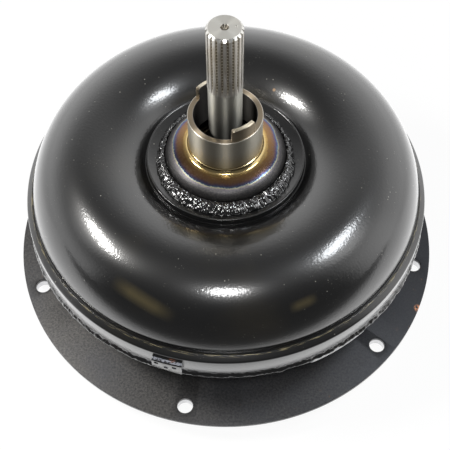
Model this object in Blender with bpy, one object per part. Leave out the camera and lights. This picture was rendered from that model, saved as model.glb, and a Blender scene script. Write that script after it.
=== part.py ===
# Torque converter with its drive plate, pump drive hub and turbine shaft.
# Z is the turning axis, and the transmission side is up.
# The origin is the middle of the crank pilot's end face.
import math

import bmesh
import bpy
from mathutils import Matrix, Vector

MM = 0.001

# Clearances
SEAT_GAP = 0.3 * MM        # between pieces that touch, press together or are welded
SPLINE_GAP = 0.2 * MM      # on each flank of a spline tooth

# Drive plate, with its six outer bolt holes and the odd pair between them
PLATE_RADIUS = 157.5 * MM
PLATE_THICKNESS = 3.2 * MM
PLATE_HOLE_INSET = 11.9 * MM
PLATE_HOLE_RADIUS = 5.5 * MM
PLATE_HOLE_ANGLES = [18.2 + 60.0 * k for k in range(6)] + [168.2, 348.2]
SPACER_RADIUS = 9.5 * MM
SPACER_HEIGHT = 5.4 * MM

# Lugs on the front cover, and the bolts that hold the drive plate to them
LUG_COUNT = 6
LUG_START = 30.0
LUG_CIRCLE = 95.0 * MM
LUG_RADIUS = 11.0 * MM
LUG_HEIGHT = 18.0 * MM
WELD_SINK = 0.8 * MM
BOLT_RADIUS = 5.0 * MM
BOLT_CLEARANCE = 0.6 * MM
BOLT_HEAD_RADIUS = 9.2 * MM
BOLT_HEAD_HEIGHT = 6.0 * MM
BOLT_LENGTH = 16.0 * MM

# Crank pilot, welded into the front cover
PILOT_RADIUS = 25.0 * MM
PILOT_REACH = 16.8 * MM
PILOT_FLANGE = 7.0 * MM
PILOT_FLANGE_THICKNESS = 4.5 * MM
PILOT_CHAMFER = 1.25 * MM
PILOT_NECK = 1.7 * MM
PILOT_STAND = 2.3 * MM
PILOT_BORE_DEPTH = 18.3 * MM
PILOT_BUSH_WALL = 2.7 * MM

# Front cover
COVER_RADIUS = 138.7 * MM
COVER_SHEET = 4.0 * MM
COVER_CORNER = 24.0 * MM

# Turbine shell, which with the cover sets the section of the bladed ring
TURBINE_WAIST = 51.0 * MM
TURBINE_SHEET = 1.8 * MM
TURBINE_WALL_GAP = 1.7 * MM
TURBINE_FLOOR_GAP = 6.1 * MM
TURBINE_FLANGE_ANGLE = 46.43

# Impeller shell
SHELL_STEP_OUT = 0.7 * MM
SHELL_SHEET = 3.6 * MM
DOME_EDGE_RISE = 8.3 * MM
DOME_EDGE_STEP = 0.8 * MM
SHOULDER_RISE = 3.4 * MM
SHOULDER_FALL = 1.6 * MM
SHOULDER_ROUND = 2.4 * MM
SKIRT_THICKNESS = 3.5 * MM
SKIRT_DROP = 15.1 * MM
COVER_LAP_DROP = 2.1 * MM
SHELL_BORE_RADIUS = 36.0 * MM
RING_RADIUS = 54.7 * MM
RING_STEP = 3.9 * MM
RING_STEP_RUN = 1.6 * MM

# Weld beads
SEAM_BEAD_OUT = 1.5 * MM
SEAM_BEAD_HEIGHT = 6.5 * MM
SEAM_CREST_DROP = 1.6 * MM
SEAM_TOE_DROP = 3.9 * MM
HUB_BEAD_WIDTH = 8.3 * MM
HUB_BEAD_HEIGHT = 5.7 * MM
HUB_BEAD_SHOULDER = 7.2 * MM
HUB_BEAD_CROWN = 3.5 * MM

# Pump drive hub
HUB_RADIUS = 25.0 * MM
HUB_BORE_RADIUS = 21.1 * MM
HUB_RIM_RISE = 43.5 * MM
HUB_RIM_CHAMFER = 0.6 * MM
HUB_FLANGE_RADIUS = 41.7 * MM
HUB_FLANGE_EDGE = 7.9 * MM
HUB_FLANGE_CROWN = 11.6 * MM
HUB_FILLET = 5.0 * MM
HUB_GRIND_STEP = 1.0 * MM
TANG_HEIGHT = 10.0 * MM
TANG_THICKNESS = 2.4 * MM
TANG_HALF_ANGLE = 21.5
TANG_ANGLES = [-58.5, 121.5]
HUB_BUSH_WALL = 1.6 * MM
HUB_BUSH_LENGTH = 20.0 * MM

# Turbine shaft
SHAFT_TOP_RISE = 122.0 * MM
SHAFT_RADIUS = 11.15 * MM
SHAFT_CHAMFER = 2.0 * MM
SHAFT_JOURNAL_RADIUS = 10.0 * MM
SPLINE_TEETH = 20
SPLINE_TIP_RADIUS = 11.5 * MM
SPLINE_ROOT_RADIUS = 10.2 * MM
SPLINE_GROOVE_TIP = 2.2 * MM
SPLINE_GROOVE_ROOT = 1.2 * MM
SPLINE_LENGTH = 38.0 * MM
SPLINE_RUN_OUT = 9.7 * MM
SPLINE_RUN_OUT_KNEE = 4.4 * MM
CENTRE_DRILL_RADIUS = 2.6 * MM
CENTRE_DRILL_DEPTH = 6.5 * MM
SNAP_RING_THICKNESS = 1.4 * MM
SNAP_RING_WIDTH = 3.2 * MM
SNAP_RING_DEPTH = 0.75 * MM
SNAP_RING_OPENING = 40.0
SNAP_RING_STEPS = 14

# Turbine hub
TURBINE_BARREL_RADIUS = 19.0 * MM
TURBINE_BOSS_RADIUS = 30.0 * MM
TURBINE_FLANGE_RADIUS = 48.0 * MM
TURBINE_FLANGE_THICKNESS = 4.2 * MM
RIVET_COUNT = 6
RIVET_CIRCLE = 39.0 * MM
RIVET_RADIUS = 2.5 * MM
RIVET_HEAD_RADIUS = 4.6 * MM
RIVET_CROWN_RADIUS = 2.8 * MM
RIVET_HEAD_HEIGHT = 2.0 * MM

# Blades and core rings
IMPELLER_BLADES = 21
TURBINE_BLADES = 19
BLADE_THICKNESS = 1.2 * MM
BLADE_TIP_GAP = 0.95 * MM
BLADE_EDGE_GAP = 1.5 * MM
BLADE_BEND_ANGLE = 2.0
IMPELLER_WRAP = 13.0
TURBINE_WRAP = 24.0
CORE_MINOR = 18.0 * MM
CORE_SHIFT = 1.0 * MM
CORE_SHEET = 1.2 * MM
CORE_INNER_ANGLE = 130.0

# Stator wheel
STATOR_BLADES = 13
STATOR_BORE_RADIUS = 41.3 * MM
STATOR_RING_THICKNESS = 2.5 * MM
STATOR_RING_HALF = 11.0 * MM
STATOR_BLADE_HALF = 10.0 * MM
STATOR_BLADE_THICKNESS = 5.0 * MM
STATOR_BLADE_BEND = 9.0 * MM
STATOR_BEND_START = 0.4
STATOR_BLADE_STATIONS = ((0.0, 0.4), (0.15, 0.95), (0.5, 0.85), (1.0, 0.12))
SIDE_RECESS = 1.0 * MM

# One-way clutch between the stator and its support
CLUTCH_HALF = 11.0 * MM
ROLLER_COUNT = 8
ROLLER_RADIUS = 3.9 * MM
RACE_RADIUS = 24.5 * MM
RACE_BORE_RADIUS = 17.6 * MM
RACE_SPLINE_DEPTH = 1.3 * MM
RACE_SPLINE_TEETH = 18
RACE_SPLINE_WIDTHS = (0.6, 0.4)
CAM_LAND_GAP = 1.2 * MM
CAM_RAMP = 1.1 * MM
CAM_HALF_ANGLE = 14.0
ROLLER_ANGLE = 3.0
SPRING_STRIP = 0.4 * MM
SPRING_FOLDS = 3
SIDE_PLATE_THICKNESS = 2.8 * MM
SIDE_BOSS_HEIGHT = 2.6 * MM
SIDE_BOSS_RADIUS = 37.0 * MM
THRUST_THICKNESS = 1.6 * MM
THRUST_RADIUS = 35.5 * MM

# Balance weights on the shell and on the cover
TAG_THICKNESS = 2.9 * MM
TAG_HEIGHT = 14.7 * MM
TAG_TOP_DROP = 3.4 * MM
TAG_ANGLES = (250.3, 258.3)
STRIP_THICKNESS = 3.0 * MM
STRIP_HEIGHT = 6.0 * MM
STRIP_ANGLES = (-67.5, -48.0)
STRIP_STATIONS = ((0.0, 0.4), (0.08, 1.0), (0.29, 1.0), (0.5, 1.0), (0.71, 1.0), (0.92, 1.0), (1.0, 0.4))

# Facets round a full turn
PLATE_FACETS = 60
LARGE_FACETS = 36
WHEEL_FACETS = 32
HUB_FACETS = 28
SMALL_FACETS = 18
HOLE_FACETS = 10
STATOR_FACETS = 2 * STATOR_BLADES
SCREW_FACETS = 8
HEX_FACETS = 6
BLADE_STEPS = 4

# Section of the bladed ring, a circle between the turbine's waist and the cover's wall
TURBINE_MINOR = (COVER_RADIUS - COVER_SHEET - TURBINE_WALL_GAP - TURBINE_WAIST) / 2
TORUS_RADIUS = TURBINE_WAIST + TURBINE_MINOR
SHELL_MINOR = TURBINE_MINOR + SHELL_STEP_OUT
DOME_MINOR = SHELL_MINOR + SHELL_SHEET
CORE_RADIUS = TORUS_RADIUS + CORE_SHIFT
VALLEY_RADIUS = RING_RADIUS + RING_STEP_RUN
SKIRT_RADIUS = COVER_RADIUS + SEAT_GAP + SKIRT_THICKNESS
TURBINE_INSIDE = TURBINE_MINOR - TURBINE_SHEET
TURBINE_FLANGE_DROP = TURBINE_INSIDE * math.sin(math.radians(TURBINE_FLANGE_ANGLE))

# Heights above the crank pilot's end face
PLATE_BOTTOM = PILOT_REACH
PLATE_TOP = PLATE_BOTTOM + PLATE_THICKNESS
COVER_BOTTOM = PLATE_TOP + LUG_HEIGHT
COVER_FLOOR = COVER_BOTTOM + COVER_SHEET
MID = COVER_FLOOR + TURBINE_FLOOR_GAP + TURBINE_MINOR
PILOT_TOP = COVER_FLOOR + PILOT_STAND
TURBINE_BOTTOM = PILOT_TOP + 2 * SEAT_GAP + THRUST_THICKNESS
TURBINE_FLANGE_TOP = MID - TURBINE_FLANGE_DROP
BARREL_FLANGE_TOP = TURBINE_FLANGE_TOP - TURBINE_SHEET - SEAT_GAP
RING_TOP = MID + math.sqrt(DOME_MINOR ** 2 - (TORUS_RADIUS - VALLEY_RADIUS) ** 2) + RING_STEP
RING_BOTTOM = RING_TOP - SHELL_SHEET
HUB_RIM = RING_TOP + HUB_RIM_RISE

# Clutch stack, measured each way from the middle plane
SIDE_INNER = CLUTCH_HALF + SEAT_GAP
SIDE_OUTER = SIDE_INNER + SIDE_PLATE_THICKNESS
BOSS_END = SIDE_OUTER + SIDE_BOSS_HEIGHT
WASHER_START = BOSS_END + SEAT_GAP
WASHER_END = WASHER_START + THRUST_THICKNESS
THRUST_FACE = WASHER_END + SEAT_GAP
STATOR_HALF = SIDE_OUTER + SIDE_RECESS
ROLLER_CIRCLE = RACE_RADIUS + SEAT_GAP + ROLLER_RADIUS
CAM_RADIUS = ROLLER_CIRCLE + ROLLER_RADIUS + SEAT_GAP
STATOR_FIT_RADIUS = STATOR_BORE_RADIUS * math.cos(math.pi / STATOR_FACETS) - SEAT_GAP
PLATE_HOLE_CIRCLE = PLATE_RADIUS - PLATE_HOLE_INSET


def make_material(name, colour, roughness, metallic):
    material = bpy.data.materials.new(name)
    material.use_nodes = True
    shader = material.node_tree.nodes["Principled BSDF"]
    shader.inputs["Base Color"].default_value = (*colour, 1.0)
    shader.inputs["Roughness"].default_value = roughness
    shader.inputs["Metallic"].default_value = metallic
    return material


def make_object(name, bm, material, parent=None):
    """Turns a bmesh into a named object with smooth round faces."""
    bmesh.ops.recalc_face_normals(bm, faces=bm.faces)
    mesh = bpy.data.meshes.new(name)
    bm.to_mesh(mesh)
    bm.free()
    mesh.shade_smooth()
    mesh.set_sharp_from_angle(angle=math.radians(32.0))
    if material:
        mesh.materials.append(material)
    obj = bpy.data.objects.new(name, mesh)
    bpy.context.scene.collection.objects.link(obj)
    if parent:
        obj.parent = parent
        obj.location = -parent.location
    return obj


def boolean(target, bm, name, operation="DIFFERENCE"):
    """Cuts or joins a tool shape, which stays in the file as a guide."""
    tool = make_object(name, bm, None)
    tool.hide_render = True
    tool.display_type = "WIRE"
    modifier = target.modifiers.new(name, "BOOLEAN")
    modifier.operation = operation
    modifier.solver = "EXACT"
    modifier.object = tool


def make_axis(name, height):
    axis = bpy.data.objects.new(name, None)
    axis.location = (0.0, 0.0, height)
    bpy.context.scene.collection.objects.link(axis)
    return axis


def arc(centre, radius, start, end, steps):
    """Points of a circle arc in the plane of radius and height, angles in degrees."""
    points = []
    for k in range(steps + 1):
        angle = math.radians(start + (end - start) * k / steps)
        points.append((centre[0] + radius * math.cos(angle), centre[1] + radius * math.sin(angle)))
    return points


def polar(radius, angle, height):
    turn = math.radians(angle)
    return Vector((radius * math.cos(turn), radius * math.sin(turn), height))


def turn_profile(bm, outline, facets):
    """Adds the solid that a closed outline of (radius, height) points sweeps round Z."""
    verts = [bm.verts.new((radius, 0.0, height)) for radius, height in outline]
    edges = []
    for a, b in zip(verts, verts[1:] + verts[:1]):
        if a.co.x > 0.0 or b.co.x > 0.0:
            edges.append(bm.edges.new((a, b)))
    bmesh.ops.spin(bm, geom=verts + edges, cent=(0, 0, 0), axis=(0, 0, 1), dvec=(0, 0, 0),
                   angle=math.tau, steps=facets, use_merge=True)
    bmesh.ops.remove_doubles(bm, verts=bm.verts, dist=0.000001)


def turned(name, outline, facets, material, parent=None):
    bm = bmesh.new()
    turn_profile(bm, outline, facets)
    return make_object(name, bm, material, parent)


def sleeve(inner, outer, bottom, top):
    return [(inner, bottom), (outer, bottom), (outer, top), (inner, top)]


def loft(bm, rings):
    """Skins a row of closed rings of points and caps both ends."""
    rows = [[bm.verts.new(point) for point in ring] for ring in rings]
    count = len(rows[0])
    for low, high in zip(rows, rows[1:]):
        for k in range(count):
            nxt = (k + 1) % count
            bm.faces.new((low[k], low[nxt], high[nxt], high[k]))
    bm.faces.new(rows[0][::-1])
    bm.faces.new(rows[-1])


def prism(bm, outline, bottom, top):
    """Extrudes a flat outline of (x, y) points along Z."""
    loft(bm, [[Vector((x, y, height)) for x, y in outline] for height in (bottom, top)])


def cylinder(bm, centre, radius, bottom, top, facets):
    outline = []
    for k in range(facets):
        turn = math.tau * k / facets
        outline.append((centre[0] + radius * math.cos(turn), centre[1] + radius * math.sin(turn)))
    prism(bm, outline, bottom, top)


def sector(inner, outer, start, end, steps):
    """Outline of a piece of a flat ring, angles in degrees."""
    return arc((0.0, 0.0), outer, start, end, steps) + arc((0.0, 0.0), inner, end, start, steps)


def copies(name, bm, circle, angles, material, parent=None):
    """Places the same piece at each angle on a circle round Z, one object for each."""
    first = make_object(name + "_1", bm, material, parent)
    for k, angle in enumerate(angles):
        piece = first
        if k:
            piece = bpy.data.objects.new(f"{name}_{k + 1}", first.data)
            bpy.context.scene.collection.objects.link(piece)
            piece.parent = parent
        home = parent.location if parent else Vector((0.0, 0.0, 0.0))
        piece.location = polar(circle, angle, 0.0) - home
        piece.rotation_euler = (0.0, 0.0, math.radians(angle))


def running_bore(radius, facets):
    """Radius of a faceted bore whose flats clear a round piece that turns in it."""
    return (radius + SEAT_GAP) / math.cos(math.pi / facets)


def even_angles(count, start=0.0):
    return [start + 360.0 * k / count for k in range(count)]


def spline_outline(teeth, inner, outer, inner_width, outer_width):
    """Star outline with a tooth pointing out at each step, widths across the tooth."""
    points = []
    for k in range(teeth):
        middle = 360.0 * k / teeth
        inner_half = math.degrees(inner_width / 2 / inner)
        outer_half = math.degrees(outer_width / 2 / outer)
        for radius, angle in ((inner, middle - inner_half), (outer, middle - outer_half),
                              (outer, middle + outer_half), (inner, middle + inner_half)):
            points.append((radius * math.cos(math.radians(angle)), radius * math.sin(math.radians(angle))))
    return points


def add_cylinders(bm, circle, angles, radius, bottom, top, facets):
    for angle in angles:
        cylinder(bm, polar(circle, angle, 0.0), radius, bottom, top, facets)


def drive_plate(material):
    """Sheet disc with a round spacer welded under each outer bolt hole."""
    disc = bmesh.new()
    cylinder(disc, (0.0, 0.0), PLATE_RADIUS, PLATE_BOTTOM, PLATE_TOP, PLATE_FACETS)
    plate = make_object("drive_plate", disc, material)
    spacers = bmesh.new()
    add_cylinders(spacers, PLATE_HOLE_CIRCLE, PLATE_HOLE_ANGLES, SPACER_RADIUS,
                  PLATE_BOTTOM - SPACER_HEIGHT, PLATE_BOTTOM + WELD_SINK, HOLE_FACETS)
    boolean(plate, spacers, "plate_spacers_tool", "UNION")
    low = PLATE_BOTTOM - 2 * SPACER_HEIGHT
    high = PLATE_TOP + SPACER_HEIGHT
    holes = bmesh.new()
    cylinder(holes, (0.0, 0.0), PILOT_RADIUS + SEAT_GAP, low, high, SMALL_FACETS)
    add_cylinders(holes, PLATE_HOLE_CIRCLE, PLATE_HOLE_ANGLES, PLATE_HOLE_RADIUS, low, high, HOLE_FACETS)
    add_cylinders(holes, LUG_CIRCLE, even_angles(LUG_COUNT, LUG_START), BOLT_RADIUS + BOLT_CLEARANCE,
                  low, high, SCREW_FACETS)
    boolean(plate, holes, "plate_holes_tool")


def plate_bolts(material):
    """Hexagon bolts up through the plate into the cover's lugs."""
    top = PLATE_BOTTOM - SEAT_GAP
    bottom = top - BOLT_HEAD_HEIGHT
    end = top + BOLT_LENGTH
    bm = bmesh.new()
    turn_profile(bm, [(0.0, bottom), (BOLT_HEAD_RADIUS, bottom), (BOLT_HEAD_RADIUS, top), (BOLT_RADIUS, top),
                      (BOLT_RADIUS, end), (0.0, end)], HEX_FACETS)
    copies("plate_bolt", bm, LUG_CIRCLE, even_angles(LUG_COUNT, LUG_START), material)


def crank_pilot(material):
    """Spigot for the crankshaft, with a blind bore for the turbine shaft's bush."""
    flange_top = COVER_BOTTOM - SEAT_GAP
    neck = PILOT_RADIUS + PILOT_NECK
    bush_inner = running_bore(SHAFT_JOURNAL_RADIUS, SMALL_FACETS)
    bore = bush_inner + PILOT_BUSH_WALL + SEAT_GAP
    turned("crank_pilot", [(0.0, 0.0), (PILOT_RADIUS - PILOT_CHAMFER, 0.0), (PILOT_RADIUS, PILOT_CHAMFER),
                           (PILOT_RADIUS, flange_top - PILOT_FLANGE_THICKNESS),
                           (PILOT_RADIUS + PILOT_FLANGE, flange_top - PILOT_FLANGE_THICKNESS),
                           (PILOT_RADIUS + PILOT_FLANGE, flange_top), (neck, flange_top), (neck, PILOT_TOP),
                           (bore, PILOT_TOP), (bore, PILOT_TOP - PILOT_BORE_DEPTH),
                           (0.0, PILOT_TOP - PILOT_BORE_DEPTH)], SMALL_FACETS, material)
    turned("pilot_bush", sleeve(bush_inner, bush_inner + PILOT_BUSH_WALL,
                                PILOT_TOP - PILOT_BORE_DEPTH + SEAT_GAP, PILOT_TOP - SEAT_GAP),
           SMALL_FACETS, MATERIALS["bronze"])


def front_cover(material):
    """Pressed bowl inside the impeller shell's skirt, with lugs welded on for the drive plate."""
    hole = PILOT_RADIUS + PILOT_NECK + SEAT_GAP
    rim = MID - COVER_LAP_DROP - SEAT_GAP
    centre = (COVER_RADIUS - COVER_CORNER, COVER_BOTTOM + COVER_CORNER)
    outside = [(hole, COVER_BOTTOM)] + arc(centre, COVER_CORNER, -90.0, 0.0, 4) + [(COVER_RADIUS, rim)]
    inside = [(COVER_RADIUS - COVER_SHEET, rim)] + arc(centre, COVER_CORNER - COVER_SHEET, 0.0, -90.0, 3)
    cover = turned("front_cover", outside + inside + [(hole, COVER_FLOOR)], LARGE_FACETS, material)
    angles = even_angles(LUG_COUNT, LUG_START)
    lugs = bmesh.new()
    add_cylinders(lugs, LUG_CIRCLE, angles, LUG_RADIUS, PLATE_TOP + SEAT_GAP, COVER_BOTTOM + WELD_SINK,
                  SCREW_FACETS)
    boolean(cover, lugs, "cover_lugs_tool", "UNION")
    threads = bmesh.new()
    add_cylinders(threads, LUG_CIRCLE, angles, BOLT_RADIUS + BOLT_CLEARANCE, PLATE_BOTTOM,
                  COVER_BOTTOM - WELD_SINK, SCREW_FACETS)
    boolean(cover, threads, "lug_bores_tool")


def blade_angles(minor, flange_drop):
    """Angles of the blade stations round the ring's section, from the inner edge to the outer."""
    start = 180.0 - math.degrees(math.asin(flange_drop / minor)) - BLADE_BEND_ANGLE
    end = math.degrees(math.asin(BLADE_EDGE_GAP / minor))
    return [start + (end - start) * k / BLADE_STEPS for k in range(BLADE_STEPS + 1)]


def section_points(centre_radius, minor, angles, side):
    """Points round the ring's section, above the middle plane for side 1 and below for -1."""
    points = []
    for angle in angles:
        turn = math.radians(angle)
        points.append((centre_radius + minor * math.cos(turn), MID + side * minor * math.sin(turn)))
    return points


def impeller_shell(material):
    """Domed shell with a raised ring for the hub, and a skirt over the front cover."""
    valley = math.degrees(math.acos((VALLEY_RADIUS - TORUS_RADIUS) / DOME_MINOR))
    edge = math.degrees(math.asin(DOME_EDGE_RISE / DOME_MINOR))
    centre = (TORUS_RADIUS, MID)
    dome = arc(centre, DOME_MINOR, valley, edge, 7)
    neck_radius = dome[-1][0] - DOME_EDGE_STEP
    shoulder = MID + SHOULDER_RISE
    outside = [(SHELL_BORE_RADIUS, RING_TOP), (RING_RADIUS, RING_TOP)] + dome
    outside += [(neck_radius, dome[-1][1] - DOME_EDGE_STEP), (neck_radius, shoulder),
                (SKIRT_RADIUS - SHOULDER_ROUND, shoulder - SHOULDER_FALL),
                (SKIRT_RADIUS, shoulder - SHOULDER_FALL - SHOULDER_ROUND), (SKIRT_RADIUS, MID - SKIRT_DROP)]
    lap = COVER_RADIUS + SEAT_GAP
    arch = section_points(TORUS_RADIUS, SHELL_MINOR, blade_angles(SHELL_MINOR, RING_BOTTOM - MID), 1)
    inside = [(lap, MID - SKIRT_DROP), (lap, MID - COVER_LAP_DROP), (arch[-1][0], MID - COVER_LAP_DROP)]
    inside += arch[::-1]
    inside += [(arch[0][0] - RING_STEP_RUN, RING_BOTTOM), (SHELL_BORE_RADIUS, RING_BOTTOM)]
    turned("impeller_shell", outside + inside, LARGE_FACETS, material)


def weld_beads(material):
    """Seam bead under the skirt's edge, and the bead round the hub's flange."""
    inner = COVER_RADIUS + SEAT_GAP
    top = MID - SKIRT_DROP - SEAT_GAP
    crest = SKIRT_RADIUS + SEAM_BEAD_OUT
    toe = SKIRT_RADIUS + SEAM_BEAD_OUT / 2
    turned("seam_weld", [(inner, top), (SKIRT_RADIUS, top), (crest, top - SEAM_CREST_DROP),
                         (toe, top - SEAM_TOE_DROP), (inner, top - SEAM_BEAD_HEIGHT)],
           LARGE_FACETS, material)
    base = RING_TOP + SEAT_GAP
    inner = HUB_FLANGE_RADIUS + SEAT_GAP
    turned("hub_weld", [(inner, base), (inner + HUB_BEAD_WIDTH, base),
                        (inner + HUB_BEAD_SHOULDER, base + HUB_BEAD_HEIGHT / 2),
                        (inner + HUB_BEAD_CROWN, base + HUB_BEAD_HEIGHT),
                        (inner, base + HUB_BEAD_HEIGHT)], HUB_FACETS, material)


def pump_drive_hub(material):
    """Ground tube with a flared flange, a locating spigot and two driving tangs."""
    flange_bottom = RING_TOP + SEAT_GAP
    edge_top = RING_TOP + HUB_FLANGE_EDGE
    crown = RING_TOP + HUB_FLANGE_CROWN
    base = HUB_RADIUS + HUB_GRIND_STEP
    fillet = arc((base + HUB_FILLET, crown + HUB_FILLET), HUB_FILLET, 270.0, 180.0, 3)
    spigot = SHELL_BORE_RADIUS - SEAT_GAP
    bottom = MID + THRUST_FACE
    tang_outer = HUB_BORE_RADIUS + TANG_THICKNESS
    outline = [(HUB_BORE_RADIUS, bottom), (spigot, bottom), (spigot, flange_bottom),
               (HUB_FLANGE_RADIUS, flange_bottom), (HUB_FLANGE_RADIUS, edge_top)]
    outline += fillet
    outline += [(HUB_RADIUS, crown + HUB_FILLET + HUB_GRIND_STEP / 2),
                (HUB_RADIUS, HUB_RIM - HUB_RIM_CHAMFER), (HUB_RADIUS - HUB_RIM_CHAMFER, HUB_RIM),
                (tang_outer, HUB_RIM),
                (tang_outer, HUB_RIM + TANG_HEIGHT), (HUB_BORE_RADIUS, HUB_RIM + TANG_HEIGHT)]
    hub = turned("pump_drive_hub", outline, HUB_FACETS, material)
    gaps = bmesh.new()
    for low, high in ((TANG_ANGLES[0], TANG_ANGLES[1]), (TANG_ANGLES[1], TANG_ANGLES[0] + 360.0)):
        prism(gaps, sector(HUB_BORE_RADIUS / 2, HUB_RADIUS + TANG_THICKNESS, low + TANG_HALF_ANGLE,
                           high - TANG_HALF_ANGLE, 8), HUB_RIM, HUB_RIM + 2 * TANG_HEIGHT)
    boolean(hub, gaps, "tang_gaps_tool")


def hub_bush(material):
    """Bush for the stator support, pressed into the foot of the hub's bore."""
    outer = HUB_BORE_RADIUS - SEAT_GAP
    bottom = MID + THRUST_FACE + SIDE_RECESS
    top = bottom + HUB_BUSH_LENGTH
    turned("hub_bush", sleeve(outer - HUB_BUSH_WALL, outer, bottom, top), SMALL_FACETS, material)


def balance_weights(material):
    """Formed tag welded over the skirt and the seam bead, and a strip below the bead."""
    top = MID - TAG_TOP_DROP
    bottom = top - TAG_HEIGHT
    seam = MID - SKIRT_DROP - SEAT_GAP
    inner = SKIRT_RADIUS + SEAT_GAP
    outer = inner + TAG_THICKNESS
    bead = SKIRT_RADIUS + SEAM_BEAD_OUT + SEAT_GAP
    outline = [(inner, top), (inner, seam + 2 * SEAT_GAP), (bead, seam), (bead, bottom),
               (max(outer, bead + TAG_THICKNESS / 2), bottom), (outer, top - TAG_THICKNESS / 3)]
    bm = bmesh.new()
    start, end = TAG_ANGLES
    loft(bm, [[polar(radius, start + (end - start) * share, height) for radius, height in outline]
              for share in (0.0, 0.5, 1.0)])
    make_object("balance_tag", bm, material)
    top = seam - SEAM_BEAD_HEIGHT - SEAT_GAP
    inner = COVER_RADIUS + SEAT_GAP
    start, end = STRIP_ANGLES
    rings = []
    for share, thickness in STRIP_STATIONS:
        angle = start + (end - start) * share
        outline = sleeve(inner, inner + STRIP_THICKNESS * thickness, top - STRIP_HEIGHT, top)
        rings.append([polar(radius, angle, height) for radius, height in outline])
    bm = bmesh.new()
    loft(bm, rings)
    make_object("balance_strip", bm, MATERIALS["zinc"])


def core_angles():
    end = math.degrees(math.asin(BLADE_EDGE_GAP / CORE_MINOR))
    return [CORE_INNER_ANGLE + (end - CORE_INNER_ANGLE) * k / BLADE_STEPS for k in range(BLADE_STEPS + 1)]


def blade_column(bm, points, azimuth, wrap, hand):
    """Column of points along one face of a blade, bent round Z towards its inner end."""
    column = []
    for k, (radius, height) in enumerate(points):
        inward = 1.0 - k / BLADE_STEPS
        half = math.degrees(BLADE_THICKNESS / 2 / radius)
        column.append(bm.verts.new(polar(radius, azimuth + wrap * inward ** 2 + hand * half, height)))
    return column


def skin(bm, first, second):
    for k in range(BLADE_STEPS):
        bm.faces.new((first[k], first[k + 1], second[k + 1], second[k]))


def blade_wall(bm, root, tip):
    """Skins one face of a blade with triangles, so that its two faces stay side by side."""
    for k in range(BLADE_STEPS):
        bm.faces.new((root[k], root[k + 1], tip[k + 1]))
        bm.faces.new((root[k], tip[k + 1], tip[k]))


def blade_ring(name, count, shell_minor, flange_drop, side, wrap, material, parent=None):
    """Curved core ring with sheet blades that stand out from it to just inside the shell."""
    tip_angles = blade_angles(shell_minor, flange_drop)
    tip_points = section_points(TORUS_RADIUS, shell_minor - BLADE_TIP_GAP, tip_angles, side)
    root_points = section_points(CORE_RADIUS, CORE_MINOR, core_angles(), side)
    back_points = section_points(CORE_RADIUS, CORE_MINOR - CORE_SHEET, core_angles(), side)
    bm = bmesh.new()
    columns = []
    for azimuth in even_angles(count):
        for hand in (-1, 1):
            columns.append([blade_column(bm, points, azimuth, wrap, hand)
                            for points in (tip_points, root_points, back_points)])
    for index, (tip, root, back) in enumerate(columns):
        next_tip, next_root, next_back = columns[(index + 1) % len(columns)]
        skin(bm, back, next_back)
        for end in (0, BLADE_STEPS):
            bm.faces.new((root[end], next_root[end], next_back[end], back[end]))
        if index % 2:
            skin(bm, root, next_root)
            continue
        skin(bm, tip, next_tip)
        blade_wall(bm, root, tip)
        blade_wall(bm, next_root, next_tip)
        for end in (0, BLADE_STEPS):
            bm.faces.new((root[end], next_root[end], next_tip[end], tip[end]))
    make_object(name, bm, material, parent)


def turbine_shell(material, parent):
    """Pressed shell with a flat flange that is riveted to the turbine's hub."""
    angles = blade_angles(TURBINE_INSIDE, TURBINE_FLANGE_DROP)
    inside = section_points(TORUS_RADIUS, TURBINE_INSIDE, angles, -1)
    outside = section_points(TORUS_RADIUS, TURBINE_MINOR, angles, -1)
    bore = TURBINE_BOSS_RADIUS + SEAT_GAP
    outline = outside[::-1] + [(bore, TURBINE_FLANGE_TOP - TURBINE_SHEET), (bore, TURBINE_FLANGE_TOP)]
    outline += inside
    shell = turned("turbine_shell", outline, WHEEL_FACETS, material, parent)
    holes = bmesh.new()
    for angle in even_angles(RIVET_COUNT):
        cylinder(holes, polar(RIVET_CIRCLE, angle, 0.0), RIVET_RADIUS + SEAT_GAP,
                 TURBINE_FLANGE_TOP - 3 * TURBINE_SHEET, TURBINE_FLANGE_TOP + 2 * TURBINE_SHEET,
                 SCREW_FACETS)
    boolean(shell, holes, "shell_rivet_holes_tool")


def shaft_tooth_widths():
    """Widths of a shaft tooth at its root and at its tip."""
    pitch = math.tau / SPLINE_TEETH
    return (pitch * SPLINE_ROOT_RADIUS - SPLINE_GROOVE_ROOT, pitch * SPLINE_TIP_RADIUS - SPLINE_GROOVE_TIP)


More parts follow.
